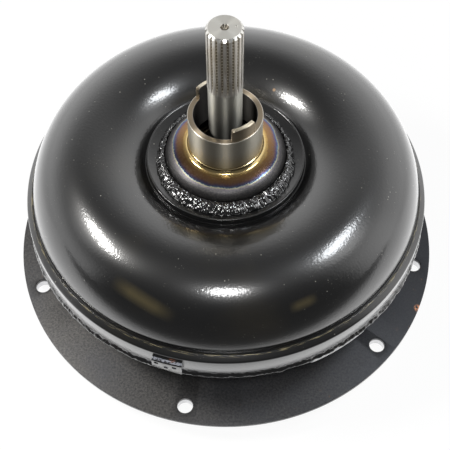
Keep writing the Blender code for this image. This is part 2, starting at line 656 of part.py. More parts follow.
def turbine_hub(material, parent):
    """Barrel splined to the turbine shaft, with the flange that carries the turbine."""
    top = MID - THRUST_FACE
    flange_bottom = BARREL_FLANGE_TOP - TURBINE_FLANGE_THICKNESS
    bore = SPLINE_ROOT_RADIUS + SPLINE_GAP
    outline = [(bore, TURBINE_BOTTOM), (TURBINE_BARREL_RADIUS, TURBINE_BOTTOM),
               (TURBINE_BARREL_RADIUS, flange_bottom), (TURBINE_FLANGE_RADIUS, flange_bottom),
               (TURBINE_FLANGE_RADIUS, BARREL_FLANGE_TOP),
               (TURBINE_BOSS_RADIUS, BARREL_FLANGE_TOP), (TURBINE_BOSS_RADIUS, top), (bore, top)]
    hub = turned("turbine_hub", outline, SMALL_FACETS, material, parent)
    root_width, tip_width = shaft_tooth_widths()
    bm = bmesh.new()
    prism(bm, spline_outline(SPLINE_TEETH, SPLINE_ROOT_RADIUS + SPLINE_GAP, SPLINE_TIP_RADIUS + SPLINE_GAP,
                             root_width + 2 * SPLINE_GAP, tip_width + 2 * SPLINE_GAP),
          TURBINE_BOTTOM - TURBINE_SHEET, top + TURBINE_SHEET)
    boolean(hub, bm, "hub_spline_tool")
    holes = bmesh.new()
    for angle in even_angles(RIVET_COUNT):
        cylinder(holes, polar(RIVET_CIRCLE, angle, 0.0), RIVET_RADIUS + SEAT_GAP,
                 flange_bottom - TURBINE_SHEET, BARREL_FLANGE_TOP + TURBINE_SHEET, SCREW_FACETS)
    boolean(hub, holes, "hub_rivet_holes_tool")


def turbine_rivets(material, parent):
    low = BARREL_FLANGE_TOP - TURBINE_FLANGE_THICKNESS - SEAT_GAP
    high = TURBINE_FLANGE_TOP + SEAT_GAP
    bottom = low - RIVET_HEAD_HEIGHT
    top = high + RIVET_HEAD_HEIGHT
    bm = bmesh.new()
    turn_profile(bm, [(0.0, bottom), (RIVET_CROWN_RADIUS, bottom), (RIVET_HEAD_RADIUS, low),
                      (RIVET_RADIUS, low), (RIVET_RADIUS, high), (RIVET_HEAD_RADIUS, high),
                      (RIVET_CROWN_RADIUS, top), (0.0, top)], HEX_FACETS)
    copies("turbine_rivet", bm, RIVET_CIRCLE, even_angles(RIVET_COUNT), material, parent)


def add_groove(bm, angle, stations):
    """One spline groove as a loft of (height, floor radius) stations."""
    mouth = SPLINE_TIP_RADIUS + SPLINE_GROOVE_ROOT
    rings = []
    for height, floor in stations:
        grow = (SPLINE_GROOVE_TIP - SPLINE_GROOVE_ROOT) / (SPLINE_TIP_RADIUS - SPLINE_ROOT_RADIUS)
        mouth_half = (SPLINE_GROOVE_TIP + grow * (mouth - SPLINE_TIP_RADIUS)) / 2
        floor_half = SPLINE_GROOVE_ROOT / 2
        outline = [(floor, -floor_half), (mouth, -mouth_half), (mouth, mouth_half), (floor, floor_half)]
        turn = Matrix.Rotation(math.radians(angle), 4, "Z")
        rings.append([turn @ Vector((x, y, height)) for x, y in outline])
    loft(bm, rings)


def turbine_shaft(material, parent):
    """Shaft with a splined top, a splined seat in the turbine's hub and a pilot journal."""
    top = RING_TOP + SHAFT_TOP_RISE
    bottom = PILOT_TOP - PILOT_BORE_DEPTH + 2 * SEAT_GAP
    seat_bottom = TURBINE_BOTTOM
    seat_top = MID - THRUST_FACE
    groove = SHAFT_RADIUS - SNAP_RING_DEPTH
    groove_bottom = seat_top + SEAT_GAP
    groove_top = groove_bottom + SNAP_RING_THICKNESS + 2 * SEAT_GAP
    run_out = top - SPLINE_LENGTH - SHAFT_CHAMFER - SPLINE_RUN_OUT
    outline = [(0.0, bottom), (SHAFT_JOURNAL_RADIUS - SEAT_GAP, bottom),
               (SHAFT_JOURNAL_RADIUS, bottom + SEAT_GAP), (SHAFT_JOURNAL_RADIUS, seat_bottom),
               (SPLINE_TIP_RADIUS, seat_bottom), (SPLINE_TIP_RADIUS, seat_top),
               (SHAFT_RADIUS, groove_bottom), (groove, groove_bottom), (groove, groove_top),
               (SHAFT_RADIUS, groove_top), (SHAFT_RADIUS, run_out), (SPLINE_TIP_RADIUS, run_out + SEAT_GAP),
               (SPLINE_TIP_RADIUS, top - SHAFT_CHAMFER), (SPLINE_TIP_RADIUS - SHAFT_CHAMFER, top),
               (CENTRE_DRILL_RADIUS, top), (CENTRE_DRILL_RADIUS / 2, top - CENTRE_DRILL_RADIUS),
               (CENTRE_DRILL_RADIUS / 2, top - CENTRE_DRILL_DEPTH), (0.0, top - CENTRE_DRILL_DEPTH)]
    shaft = turned("turbine_shaft", outline, SPLINE_TEETH, material, parent)
    upper = [(run_out, SPLINE_TIP_RADIUS + SEAT_GAP),
             (run_out + SPLINE_RUN_OUT_KNEE, SPLINE_ROOT_RADIUS + 2 * SEAT_GAP),
             (run_out + SPLINE_RUN_OUT, SPLINE_ROOT_RADIUS), (top + SHAFT_CHAMFER, SPLINE_ROOT_RADIUS)]
    lower = [(seat_bottom - SEAT_GAP, SPLINE_ROOT_RADIUS), (seat_top + SEAT_GAP / 2, SPLINE_ROOT_RADIUS)]
    bm = bmesh.new()
    for angle in even_angles(SPLINE_TEETH, 180.0 / SPLINE_TEETH):
        add_groove(bm, angle, upper)
        add_groove(bm, angle, lower)
    boolean(shaft, bm, "spline_grooves_tool")
    ring_inner = groove + SEAT_GAP
    ring_end = SNAP_RING_OPENING / 2
    ring_bottom = groove_bottom + SEAT_GAP
    ring = bmesh.new()
    prism(ring, sector(ring_inner, ring_inner + SNAP_RING_WIDTH, ring_end, 360.0 - ring_end, SNAP_RING_STEPS),
          ring_bottom, ring_bottom + SNAP_RING_THICKNESS)
    make_object("shaft_snap_ring", ring, MATERIALS["spring_steel"], parent)


def thrust_washers(material, turbine, stator):
    """Bronze washers under the turbine's hub and on both faces of the stator."""
    inner = running_bore(SHAFT_JOURNAL_RADIUS, SMALL_FACETS) + PILOT_BUSH_WALL
    bottom = PILOT_TOP + SEAT_GAP
    turned("turbine_thrust_washer", sleeve(inner, PILOT_RADIUS, bottom, bottom + THRUST_THICKNESS),
           SMALL_FACETS, material, turbine)
    inner = running_bore(RACE_RADIUS, SMALL_FACETS)
    turned("stator_thrust_washer_turbine", sleeve(inner, THRUST_RADIUS, MID - WASHER_END, MID - WASHER_START),
           SMALL_FACETS, material, stator)
    turned("stator_thrust_washer_hub", sleeve(inner, THRUST_RADIUS, MID + WASHER_START, MID + WASHER_END),
           SMALL_FACETS, material, stator)


def add_stator_blade(bm, azimuth, inner, outer):
    """Cambered blade with a round nose towards the turbine and a thin tail."""
    low_side = []
    high_side = []
    for share, width in STATOR_BLADE_STATIONS:
        height = MID + STATOR_BLADE_HALF * (2 * share - 1)
        middle = STATOR_BLADE_BEND * (share ** 2 - STATOR_BEND_START)
        low_side.append((middle - width * STATOR_BLADE_THICKNESS / 2, height))
        high_side.append((middle + width * STATOR_BLADE_THICKNESS / 2, height))
    outline = low_side + high_side[::-1]
    turn = Matrix.Rotation(math.radians(azimuth), 4, "Z")
    loft(bm, [[turn @ Vector((radius, side, height)) for side, height in outline]
              for radius in (inner, outer)])


def stator_wheel(material, parent):
    """Cast wheel: a hub, cambered blades and an outer ring in one piece."""
    waist = TORUS_RADIUS - SHELL_MINOR
    brim = TORUS_RADIUS - math.sqrt(SHELL_MINOR ** 2 - STATOR_HALF ** 2)
    outline = [(STATOR_BORE_RADIUS, MID - STATOR_HALF), (brim, MID - STATOR_HALF), (waist, MID),
               (brim, MID + STATOR_HALF), (STATOR_BORE_RADIUS, MID + STATOR_HALF)]
    wheel = turned("stator_wheel", outline, STATOR_FACETS, material, parent)
    ring_inner = CORE_RADIUS - CORE_MINOR
    root = (STATOR_BORE_RADIUS + waist) / 2
    tip = ring_inner + STATOR_RING_THICKNESS / 2
    blades = bmesh.new()
    for azimuth in even_angles(STATOR_BLADES):
        add_stator_blade(blades, azimuth, root, tip)
    boolean(wheel, blades, "stator_blades_tool", "UNION")
    ring = bmesh.new()
    turn_profile(ring, sleeve(ring_inner, ring_inner + STATOR_RING_THICKNESS,
                              MID - STATOR_RING_HALF, MID + STATOR_RING_HALF), STATOR_FACETS)
    boolean(wheel, ring, "stator_ring_tool", "UNION")


def clutch_outer_race(material, parent):
    """Cam race with a ramped pocket for each roller."""
    land = RACE_RADIUS + CAM_LAND_GAP
    race = turned("clutch_outer_race",
                  sleeve(land, STATOR_FIT_RADIUS, MID - CLUTCH_HALF, MID + CLUTCH_HALF),
                  3 * ROLLER_COUNT, material, parent)
    pockets = bmesh.new()
    for angle in even_angles(ROLLER_COUNT):
        corners = [(RACE_RADIUS, -CAM_HALF_ANGLE), (CAM_RADIUS + CAM_RAMP, -CAM_HALF_ANGLE),
                   (CAM_RADIUS + CAM_RAMP, 0.0), (CAM_RADIUS, CAM_HALF_ANGLE), (RACE_RADIUS, CAM_HALF_ANGLE)]
        outline = [tuple(polar(radius, angle + offset, 0.0)[:2]) for radius, offset in corners]
        prism(pockets, outline, MID - 2 * CLUTCH_HALF, MID + 2 * CLUTCH_HALF)
    boolean(race, pockets, "cam_pockets_tool")


def clutch_rollers(material, parent):
    half = CLUTCH_HALF - SEAT_GAP
    bm = bmesh.new()
    cylinder(bm, (0.0, 0.0), ROLLER_RADIUS, MID - half, MID + half, SCREW_FACETS)
    copies("clutch_roller", bm, ROLLER_CIRCLE, even_angles(ROLLER_COUNT, ROLLER_ANGLE), material, parent)


def clutch_springs(material, parent):
    """Folded strip springs that push each roller up its ramp."""
    half = CLUTCH_HALF - 2 * SEAT_GAP
    start = -CAM_HALF_ANGLE + math.degrees(2 * SEAT_GAP / RACE_RADIUS)
    end = ROLLER_ANGLE - math.degrees((ROLLER_RADIUS + SEAT_GAP) / ROLLER_CIRCLE)
    low = RACE_RADIUS + CAM_LAND_GAP
    high = CAM_RADIUS
    fold = math.radians((end - start) / SPRING_FOLDS) * ROLLER_CIRCLE
    web = SPRING_STRIP * math.hypot(high - low, fold) / fold
    outer_side = []
    inner_side = []
    for k in range(SPRING_FOLDS + 1):
        place = start + (end - start) * k / SPRING_FOLDS
        outer_side.append(polar(high if k % 2 else low + web, place, 0.0)[:2])
        inner_side.append(polar(high - web if k % 2 else low, place, 0.0)[:2])
    bm = bmesh.new()
    prism(bm, outer_side + inner_side[::-1], MID - half, MID + half)
    copies("clutch_spring", bm, 0.0, even_angles(ROLLER_COUNT), material, parent)


def side_plates(material, parent):
    """Plates staked into both ends of the stator's bore, with a thrust boss each."""
    inner = running_bore(RACE_RADIUS, SMALL_FACETS)
    outer = STATOR_FIT_RADIUS
    for name, side in (("stator_side_plate_turbine", -1), ("stator_side_plate_hub", 1)):
        outline = [(inner, SIDE_INNER), (outer, SIDE_INNER), (outer, SIDE_OUTER),
                   (SIDE_BOSS_RADIUS, SIDE_OUTER), (SIDE_BOSS_RADIUS, BOSS_END), (inner, BOSS_END)]
        outline = [(radius, MID + side * height) for radius, height in outline]
        turned(name, outline, SMALL_FACETS, material, parent)


def clutch_inner_race(material, parent):
    """Race that slides on the splined end of the stator support."""
    half = SIDE_OUTER + SIDE_RECESS / 2
    race = turned("clutch_inner_race", sleeve(RACE_BORE_RADIUS, RACE_RADIUS, MID - half, MID + half),
                  RACE_SPLINE_TEETH, material, parent)
    pitch = math.tau * RACE_BORE_RADIUS / RACE_SPLINE_TEETH
    widths = [pitch * share for share in RACE_SPLINE_WIDTHS]
    bm = bmesh.new()
    prism(bm, spline_outline(RACE_SPLINE_TEETH, RACE_BORE_RADIUS, RACE_BORE_RADIUS + RACE_SPLINE_DEPTH,
                             *widths), MID - 2 * half, MID + 2 * half)
    boolean(race, bm, "race_spline_tool")


def build():
    turbine = make_axis("turbine_axis", TURBINE_BOTTOM)
    stator = make_axis("stator_axis", MID)
    race = make_axis("race_axis", MID)

    drive_plate(MATERIALS["plate"])
    plate_bolts(MATERIALS["zinc"])
    crank_pilot(MATERIALS["steel"])
    front_cover(MATERIALS["paint"])
    impeller_shell(MATERIALS["paint"])
    weld_beads(MATERIALS["weld"])
    pump_drive_hub(MATERIALS["steel"])
    hub_bush(MATERIALS["bronze"])
    balance_weights(MATERIALS["weld"])
    blade_ring("impeller_blade_ring", IMPELLER_BLADES, SHELL_MINOR, RING_BOTTOM - MID, 1, IMPELLER_WRAP,
               MATERIALS["sheet"])

    turbine_shell(MATERIALS["sheet"], turbine)
    blade_ring("turbine_blade_ring", TURBINE_BLADES, TURBINE_INSIDE, TURBINE_FLANGE_DROP, -1, -TURBINE_WRAP,
               MATERIALS["sheet"], turbine)
    turbine_hub(MATERIALS["steel"], turbine)
    turbine_rivets(MATERIALS["zinc"], turbine)
    turbine_shaft(MATERIALS["steel"], turbine)
    thrust_washers(MATERIALS["bronze"], turbine, stator)

    stator_wheel(MATERIALS["aluminium"], stator)
    clutch_outer_race(MATERIALS["race"], stator)
    clutch_rollers(MATERIALS["race"], stator)
    clutch_springs(MATERIALS["spring_steel"], stator)
    side_plates(MATERIALS["aluminium"], stator)
    clutch_inner_race(MATERIALS["race"], race)


for old in list(bpy.data.objects):
    bpy.data.objects.remove(old, do_unlink=True)

MATERIALS = {
    "paint": make_material("gloss_black_paint", (0.012, 0.012, 0.013), 0.16, 0.0),
    "plate": make_material("dark_phosphate_plate", (0.085, 0.085, 0.092), 0.42, 0.55),
    "steel": make_material("ground_steel", (0.52, 0.51, 0.49), 0.22, 1.0),
    "weld": make_material("painted_weld", (0.02, 0.02, 0.021), 0.24, 0.1),
    "zinc": make_material("zinc_steel", (0.45, 0.45, 0.46), 0.35, 1.0),
    "bronze": make_material("bearing_bronze", (0.50, 0.31, 0.13), 0.35, 1.0),
    "sheet": make_material("pressed_sheet", (0.36, 0.36, 0.37), 0.38, 1.0),
    "aluminium": make_material("cast_aluminium", (0.60, 0.61, 0.62), 0.5, 1.0),
    "race": make_material("hardened_steel", (0.42, 0.42, 0.43), 0.2, 1.0),
    "spring_steel": make_material("spring_steel", (0.26, 0.28, 0.33), 0.3, 1.0),
}

build()
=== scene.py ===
# Torque converter on a pale floor, seen from above and in front.
# Z is the turning axis and the transmission side is up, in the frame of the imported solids.
# Shapes are drawn in millimetres. Lamps, camera and the places that materials mark are in metres.
import math

import bmesh
import bpy
from mathutils import Matrix, Vector, noise


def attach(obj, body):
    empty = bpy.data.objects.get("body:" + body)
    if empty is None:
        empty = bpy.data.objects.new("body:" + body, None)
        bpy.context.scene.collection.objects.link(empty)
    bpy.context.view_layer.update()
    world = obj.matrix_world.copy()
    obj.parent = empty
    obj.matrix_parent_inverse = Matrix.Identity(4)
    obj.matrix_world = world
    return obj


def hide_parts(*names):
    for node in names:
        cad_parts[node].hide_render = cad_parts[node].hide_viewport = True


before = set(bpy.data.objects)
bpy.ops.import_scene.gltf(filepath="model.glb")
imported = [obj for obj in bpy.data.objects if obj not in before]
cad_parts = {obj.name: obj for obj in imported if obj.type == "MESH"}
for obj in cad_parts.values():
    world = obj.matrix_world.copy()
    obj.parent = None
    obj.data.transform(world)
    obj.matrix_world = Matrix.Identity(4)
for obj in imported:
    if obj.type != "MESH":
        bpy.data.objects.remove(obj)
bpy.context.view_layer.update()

MM = 0.001
# Vertices that are closer than this, in millimetres, become one
MERGE = 0.002

# Camera, solved from the circles of the object in the photograph
CAMERA_PLACE = (-0.0005, -0.4003, 0.6420)
CAMERA_PITCH = 56.72
CAMERA_YAW = -0.05
CAMERA_ROLL = 0.53
CAMERA_LENS = 75.77
CAMERA_SENSOR = 36.0

# Lamps: place, share of the plain light level, length and width, and colour
LAMPS = {
    "lamp_left": ((-0.580, -0.010, 0.750), 0.80, (0.280, 0.110), (1.0, 0.985, 0.955)),
    "lamp_right": ((0.440, -0.024, 0.750), 0.32, (0.270, 0.140), (0.93, 0.965, 1.0)),
    "lamp_front": ((0.0, -0.430, 0.750), 0.36, (0.180, 0.140), (1.0, 1.0, 1.0)),
}
LAMP_TARGET = Vector((0.0, 0.0, 0.08))

# Facets round a full turn
ROUND = 256
SEAM_ROUND = 1440
HUB_BEAD_ROUND = 900
HUB_ROUND = 192
PILOT_ROUND = 144
BUSH_ROUND = 96
BOLT_ROUND = 48
HOLE_ROUND = 40
LUG_HOLE_ROUND = 28
MARK_ROUND = 16

# Sizes that several pieces share, from the axis or above the crank pilot's end face
PLATE_BOTTOM = 16.8
PLATE_TOP = 20.0
HOLE_CIRCLE = 145.6
HOLE_RADIUS = 5.5
HOLE_ANGLES = [18.2 + 60.0 * k for k in range(6)] + [168.2, 348.2]
LUG_CIRCLE = 95.0
LUG_ANGLES = [30.0 + 60.0 * k for k in range(6)]
RING_TOP = 120.8855
SKIRT_INNER = 139.0
SKIRT_BOTTOM = 72.8
COVER_BOTTOM = 38.0


def arc(centre_radius, centre_height, radius, start, end, steps):
    """Points of a round stretch of an outline, from one angle in degrees to another."""
    points = []
    for k in range(steps + 1):
        angle = math.radians(start + (end - start) * k / steps)
        points.append((centre_radius + radius * math.cos(angle), centre_height + radius * math.sin(angle)))
    return points


def rounded(points, steps=3):
    """Rounds the corners of a closed outline of (radius, height[, fillet]) points."""
    result = []
    count = len(points)
    for k, point in enumerate(points):
        here = Vector(point[:2])
        if len(point) < 3:
            result.append(tuple(here))
            continue
        before = (Vector(points[k - 1][:2]) - here).normalized()
        after = (Vector(points[(k + 1) % count][:2]) - here).normalized()
        half = before.angle(after) / 2
        tangent = point[2] / math.tan(half)
        middle = here + (before + after).normalized() * (point[2] / math.sin(half))
        start = here + before * tangent - middle
        end = here + after * tangent - middle
        span = start.angle_signed(end)
        for step in range(steps + 1):
            spoke = Matrix.Rotation(-span * step / steps, 2) @ start
            result.append(tuple(middle + spoke))
    return result


def on_circle(radius, angle):
    """Place at a radius and an angle in degrees."""
    return (radius * math.cos(math.radians(angle)), radius * math.sin(math.radians(angle)))


def add_object(name, data):
    made = bpy.data.objects.new(name, data)
    bpy.context.scene.collection.objects.link(made)
    return made


def bake(name, bm):
    """Makes a mesh in metres from a bmesh in millimetres."""
    bmesh.ops.recalc_face_normals(bm, faces=bm.faces)
    bmesh.ops.scale(bm, vec=(MM, MM, MM), verts=bm.verts)
    mesh = bpy.data.meshes.new(name)
    bm.to_mesh(mesh)
    bm.free()
    return mesh


def finish_piece(name, bm, material, node, slot, body="housing", sharp=38.0):
    """Turns a bmesh into a smooth piece that rides on a body and stands for a node."""
    bmesh.ops.remove_doubles(bm, verts=bm.verts, dist=MERGE)
    mesh = bake(name, bm)
    mesh.shade_smooth()
    mesh.set_sharp_from_angle(angle=math.radians(sharp))
    mesh.materials.append(material)
    piece = add_object(name, mesh)
    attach(piece, body)
    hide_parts(node)
    return piece


def sweep(bm, outline, segments=ROUND, shift=None, place=(0.0, 0.0)):
    """Sweeps a closed outline of (radius, height) round Z. shift(angle, index, point) moves a point."""
    rings = []
    for k in range(segments):
        angle = math.radians(360.0 * k / segments)
        ring = []
        for index, point in enumerate(outline):
            radius, height = shift(angle, index, point) if shift else point
            ring.append(bm.verts.new((place[0] + radius * math.cos(angle),
                                      place[1] + radius * math.sin(angle), height)))
        rings.append(ring)
    size = len(outline)
    for first, second in zip(rings, rings[1:] + rings[:1]):
        for k in range(size):
            after = (k + 1) % size
            on_axis = outline[k][0] < 1e-6 and outline[after][0] < 1e-6
            if not on_axis:
                bm.faces.new((first[k], second[k], second[after], first[after]))


def turned(name, outline, material, segments=ROUND, shift=None, **options):
    bm = bmesh.new()
    sweep(bm, outline, segments, shift=shift)
    return finish_piece(name, bm, material, **options)


def skin(bm, rings, caps=True):
    """Joins rings of equal length by faces, and closes the first and the last ring."""
    size = len(rings[0])
    for first, second in zip(rings, rings[1:]):
        for k in range(size):
            after = (k + 1) % size
            bm.faces.new((first[k], second[k], second[after], first[after]))
    if caps:
        bm.faces.new(rings[0])
        bm.faces.new(rings[-1][::-1])


def upright_ring(bm, angle, outline):
    """Ring of vertices from an outline of (radius, height), stood up at an angle in degrees."""
    turn = math.radians(angle)
    return [bm.verts.new((r * math.cos(turn), r * math.sin(turn), z)) for r, z in outline]


def cut(piece, bm, name):
    """Cuts a tool shape out of a piece and bakes the result into its mesh."""
    tool = add_object(name, bake(name, bm))
    modifier = piece.modifiers.new(name, "BOOLEAN")
    modifier.operation = "DIFFERENCE"
    modifier.solver = "EXACT"
    modifier.object = tool
    graph = bpy.context.evaluated_depsgraph_get()
    baked = bpy.data.meshes.new_from_object(piece.evaluated_get(graph))
    piece.modifiers.remove(modifier)
    piece.data = baked
    bpy.data.objects.remove(tool, do_unlink=True)


def ripple(angle, along, scale, seed):
    """Smooth random value between about -1 and 1 that closes round the turn."""
    return noise.noise(Vector((math.cos(angle) * scale, math.sin(angle) * scale, along + seed)))


def ripples(angle, along, waves):
    """Sum of ripples. Each wave is a size, a stretch along, a scale round the turn and a seed."""
    return sum(size * ripple(angle, along * stretch, scale, seed) for size, stretch, scale, seed in waves)


# Materials

# Colours of the enamel and of what lies on it or shows through it
ENAMEL = (0.0022, 0.0022, 0.0024)
ENAMEL_HAZE = (0.0130, 0.0108, 0.0064)
DUST = (0.34, 0.33, 0.29)
WORN_EDGE_AND_GLINTS = (0.40, 0.34, 0.19)
OIL_FILM = (0.050, 0.040, 0.018)
CHIPPED = (0.28, 0.16, 0.07)
SCRAPED_BEND_HIGHLIGHT = (0.25, 0.26, 0.30)
TAG_RUST = (0.20, 0.080, 0.045)
# Roughness of the wide glow on the enamel
COAT_BLUR = 0.30

# Worn upper edge of the skirt, with painted glints along it: its radius, and the heights where it starts and
# ends
WORN_GLINT_RADIUS = 0.1386
WORN_GLINT_START = (0.0880, 0.0885)
WORN_GLINT_END = (0.0914, 0.0918)
# Painted highlight on the balance tag's bend, in patches like scraped paint, and a rusty spot of the tag
BEND_HIGHLIGHT_START = (0.14350, 0.14365)
BEND_HIGHLIGHT_END = (0.1450, 0.1453)
RUST_PLACE = (-0.0354, -0.1388, 0.0860)
# Chips in the dome's enamel and at the plate's edge
CHIP_PLACE = (0.0353, 0.0546, 0.1255)
PLATE_CHIP_PLACE = (0.1418, -0.0672, 0.0200)
# Faint oily streaks low on the dome: middle, half the length as a vector, and half width
OIL_STREAKS = (((-0.0533, -0.1137, 0.1203), (0.0199, -0.0131, -0.0028), 0.0064),
               ((0.0484, -0.1168, 0.1196), (0.0092, 0.0042, 0.0004), 0.0044))

# Colours and places on the drive plate. It darkens from left to right as painted shade, for the weaker light
# on its right side.
PLATE_GRAIN_DARK = (0.024, 0.023, 0.025)
PLATE_GRAIN_PALE = (0.092, 0.089, 0.084)
PLATE_CLOUD = (0.043, 0.047, 0.058)
PLATE_RIGHT_SHADE = (0.014, 0.016, 0.021)
PLATE_CHIP = (0.46, 0.20, 0.10)
PLATE_RUST = (0.16, 0.085, 0.045)
PLATE_SHADE_SPAN = (-0.03, 0.13)

# Heights and radii on the shaft where one finish or painted shade turns into the next
SHAFT_SUNK_SHADE = (0.1400, 0.1900)
SHAFT_SPLINED = (0.1925, 0.1945)
SHAFT_GROOVE_END = (0.2404, 0.2412)
SHAFT_CHAMFER = (0.2411, 0.2413)
SHAFT_FACE = (0.2426, 0.2428)
SHAFT_GROOVE = (0.0104, 0.0111)
SHAFT_FLANK = (0.01085, 0.01105)
SHAFT_DRILLING_SHADE = (0.0027, 0.0032)
SHAFT_CUTTER_SCALE = 121.0

# The same on the pump drive hub, from its flange up to the ends of the tangs
HUB_UPPER = (0.1372, 0.1382)
HUB_TUBE = (0.1385, 0.152)
HUB_RIM_FACE = (0.16380, 0.16410)
HUB_TANG_END = (0.1739, 0.1742)
HUB_INSIDE_SHADE = (0.0212, 0.0216)
HUB_FLAT_START = (0.0213, 0.0216)
HUB_FLAT_END = (0.0245, 0.0248)
HUB_SCALE = (0.0355, 0.0365)
HUB_TINT_SPAN = (0.024, 0.044)
HUB_TINTS = [(0.0, (0.34, 0.29, 0.18)), (0.08, (0.54, 0.42, 0.20)), (0.20, (0.54, 0.36, 0.13)),
             (0.27, (0.26, 0.145, 0.054)), (0.46, (0.17, 0.090, 0.052)), (0.55, (0.06, 0.06, 0.15)),
             (0.585, (0.10, 0.17, 0.24)), (0.61, (0.26, 0.24, 0.15)), (0.64, (0.092, 0.084, 0.098)),
             (0.70, (0.046, 0.046, 0.049)), (0.88, (0.052, 0.052, 0.054))]


class Graph:
    """Short form for building the nodes of a material or a world."""

    def __init__(self, owner):
        owner.use_nodes = True
        self.owner = owner
        self.tree = owner.node_tree
        self.shader = self.tree.nodes.get("Principled BSDF")

    def node(self, kind, inputs=None, **settings):
        made = self.tree.nodes.new(kind)
        for key, value in settings.items():
            setattr(made, key, value)
        for key, value in (inputs or {}).items():
            self.feed(made, key, value)
        return made

    def feed(self, target, key, value):
        if isinstance(value, bpy.types.NodeSocket):
            self.tree.links.new(value, target.inputs[key])
        elif isinstance(value, tuple) and len(value) == 3 and target.inputs[key].type == "RGBA":
            target.inputs[key].default_value = (*value, 1.0)
        else:
            target.inputs[key].default_value = value

    def set(self, **inputs):
        for key, value in inputs.items():
            self.feed(self.shader, key.replace("_", " "), value)

    def place(self):
        return self.node("ShaderNodeTexCoord").outputs["Object"]

    def parts(self, vector=None):
        """X, Y and Z of a vector, or else of the place on the object."""
        return tuple(self.node("ShaderNodeSeparateXYZ", {"Vector": vector or self.place()}).outputs)

    def noise(self, scale, detail=3.0, vector=None, rough=0.5):
        made = self.node("ShaderNodeTexNoise", {"Vector": vector or self.place(), "Scale": scale,
                                                "Detail": detail, "Roughness": rough})
        return made.outputs["Fac"]

    def cells(self, scale):
        """Distance to the middle of the nearest of many scattered cells."""
        return self.node("ShaderNodeTexVoronoi", {"Vector": self.place(), "Scale": scale}).outputs["Distance"]

    def remap(self, value, low, high, to_low=0.0, to_high=1.0, **settings):
        made = self.node("ShaderNodeMapRange", {"Value": value, "From Min": low, "From Max": high,
                                                "To Min": to_low, "To Max": to_high}, **settings)
        return made.outputs["Result"]

    def smooth(self, value, low, high, to_low=0.0, to_high=1.0):
        """A remap that eases in and out."""
        return self.remap(value, low, high, to_low, to_high, interpolation_type="SMOOTHSTEP")

    def fade(self, value, low, high):
        """1 up to the low value, falling to 0 at the high one."""
        return self.remap(value, low, high, 1.0, 0.0)

    def band(self, value, start, end):
        """1 between two limits, each given as a pair of values between which it changes."""
        return self.times(self.remap(value, *start), self.fade(value, *end))

    def calc(self, operation, first, second=0.0):
        return self.node("ShaderNodeMath", {0: first, 1: second}, operation=operation).outputs[0]

    def times(self, product, *factors):
        for factor in factors:
            product = self.calc("MULTIPLY", product, factor)
        return product

    def plus(self, total, *terms):
        for term in terms:
            total = self.calc("ADD", total, term)
        return total

    def mix(self, factor, first, second):
        """Mix of two colours."""
        made = self.node("ShaderNodeMix", {"Factor": factor, 6: first, 7: second}, data_type="RGBA")
        return made.outputs[2]

    def blend(self, factor, first, second):
        """Mix of two numbers."""
        made = self.node("ShaderNodeMix", {"Factor": factor, 2: first, 3: second}, data_type="FLOAT")
        return made.outputs[0]

    def ramp(self, value, stops):
        made = self.node("ShaderNodeValToRGB", {"Fac": value})
        elements = made.color_ramp.elements
        while len(elements) < len(stops):
            elements.new(0.5)
        for element, (place, colour) in zip(elements, stops):
            element.position = place
            element.color = (*colour, 1.0)
        return made.outputs["Color"]

    def radius(self):
        """Distance from the turning axis."""
        across, along, _ = self.parts()
        return self.calc("SQRT", self.plus(self.times(across, across), self.times(along, along)))

    def height(self):
        return self.parts()[2]

    def vector_math(self, operation, first, second=(0.0, 0.0, 0.0)):
        return self.node("ShaderNodeVectorMath", {0: first, 1: second}, operation=operation).outputs

    def spot(self, centre, inner, outer):
        """1 within the inner distance of a place, fading to 0 at the outer one."""
        return self.fade(self.vector_math("DISTANCE", self.place(), centre)["Value"], inner, outer)

    def streak(self, middle, half, half_width):
        """1 along a straight line through a place, fading towards its sides and ends."""
        offset = self.vector_math("SUBTRACT", self.place(), middle)[0]
        along = self.vector_math("PROJECT", offset, half)[0]
        aside = self.vector_math("DISTANCE", offset, along)["Value"]
        run = self.vector_math("LENGTH", along)["Value"]
        half_length = math.hypot(*half)
        return self.times(self.fade(aside, 0.1 * half_width, half_width),
                          self.fade(run, 0.4 * half_length, half_length))

    def turned_place(self, outward=40.0, upward=1.0):
        """Radius, angle and height as a vector, for marks that run round the axis."""
        across, along, up = self.parts()
        angle = self.calc("ARCTAN2", along, across)
        made = self.node("ShaderNodeCombineXYZ", {0: self.times(self.radius(), outward),
                                                  1: self.times(angle, 0.02), 2: self.times(up, upward)})
        return made.outputs["Vector"]

    def turning_marks(self, amount):
        """Stretches reflections along the axis, as grinding marks that run round it do."""
        tangent = self.node("ShaderNodeTangent", direction_type="RADIAL", axis="Z").outputs["Tangent"]
        self.set(Anisotropic=amount, Anisotropic_Rotation=0.25, Tangent=tangent)

    def bump(self, height, strength, distance):
        made = self.node("ShaderNodeBump", {"Height": height, "Strength": strength, "Distance": distance})
        self.set(Normal=made.outputs["Normal"])


def new_graph(name):
    return Graph(bpy.data.materials.new(name))


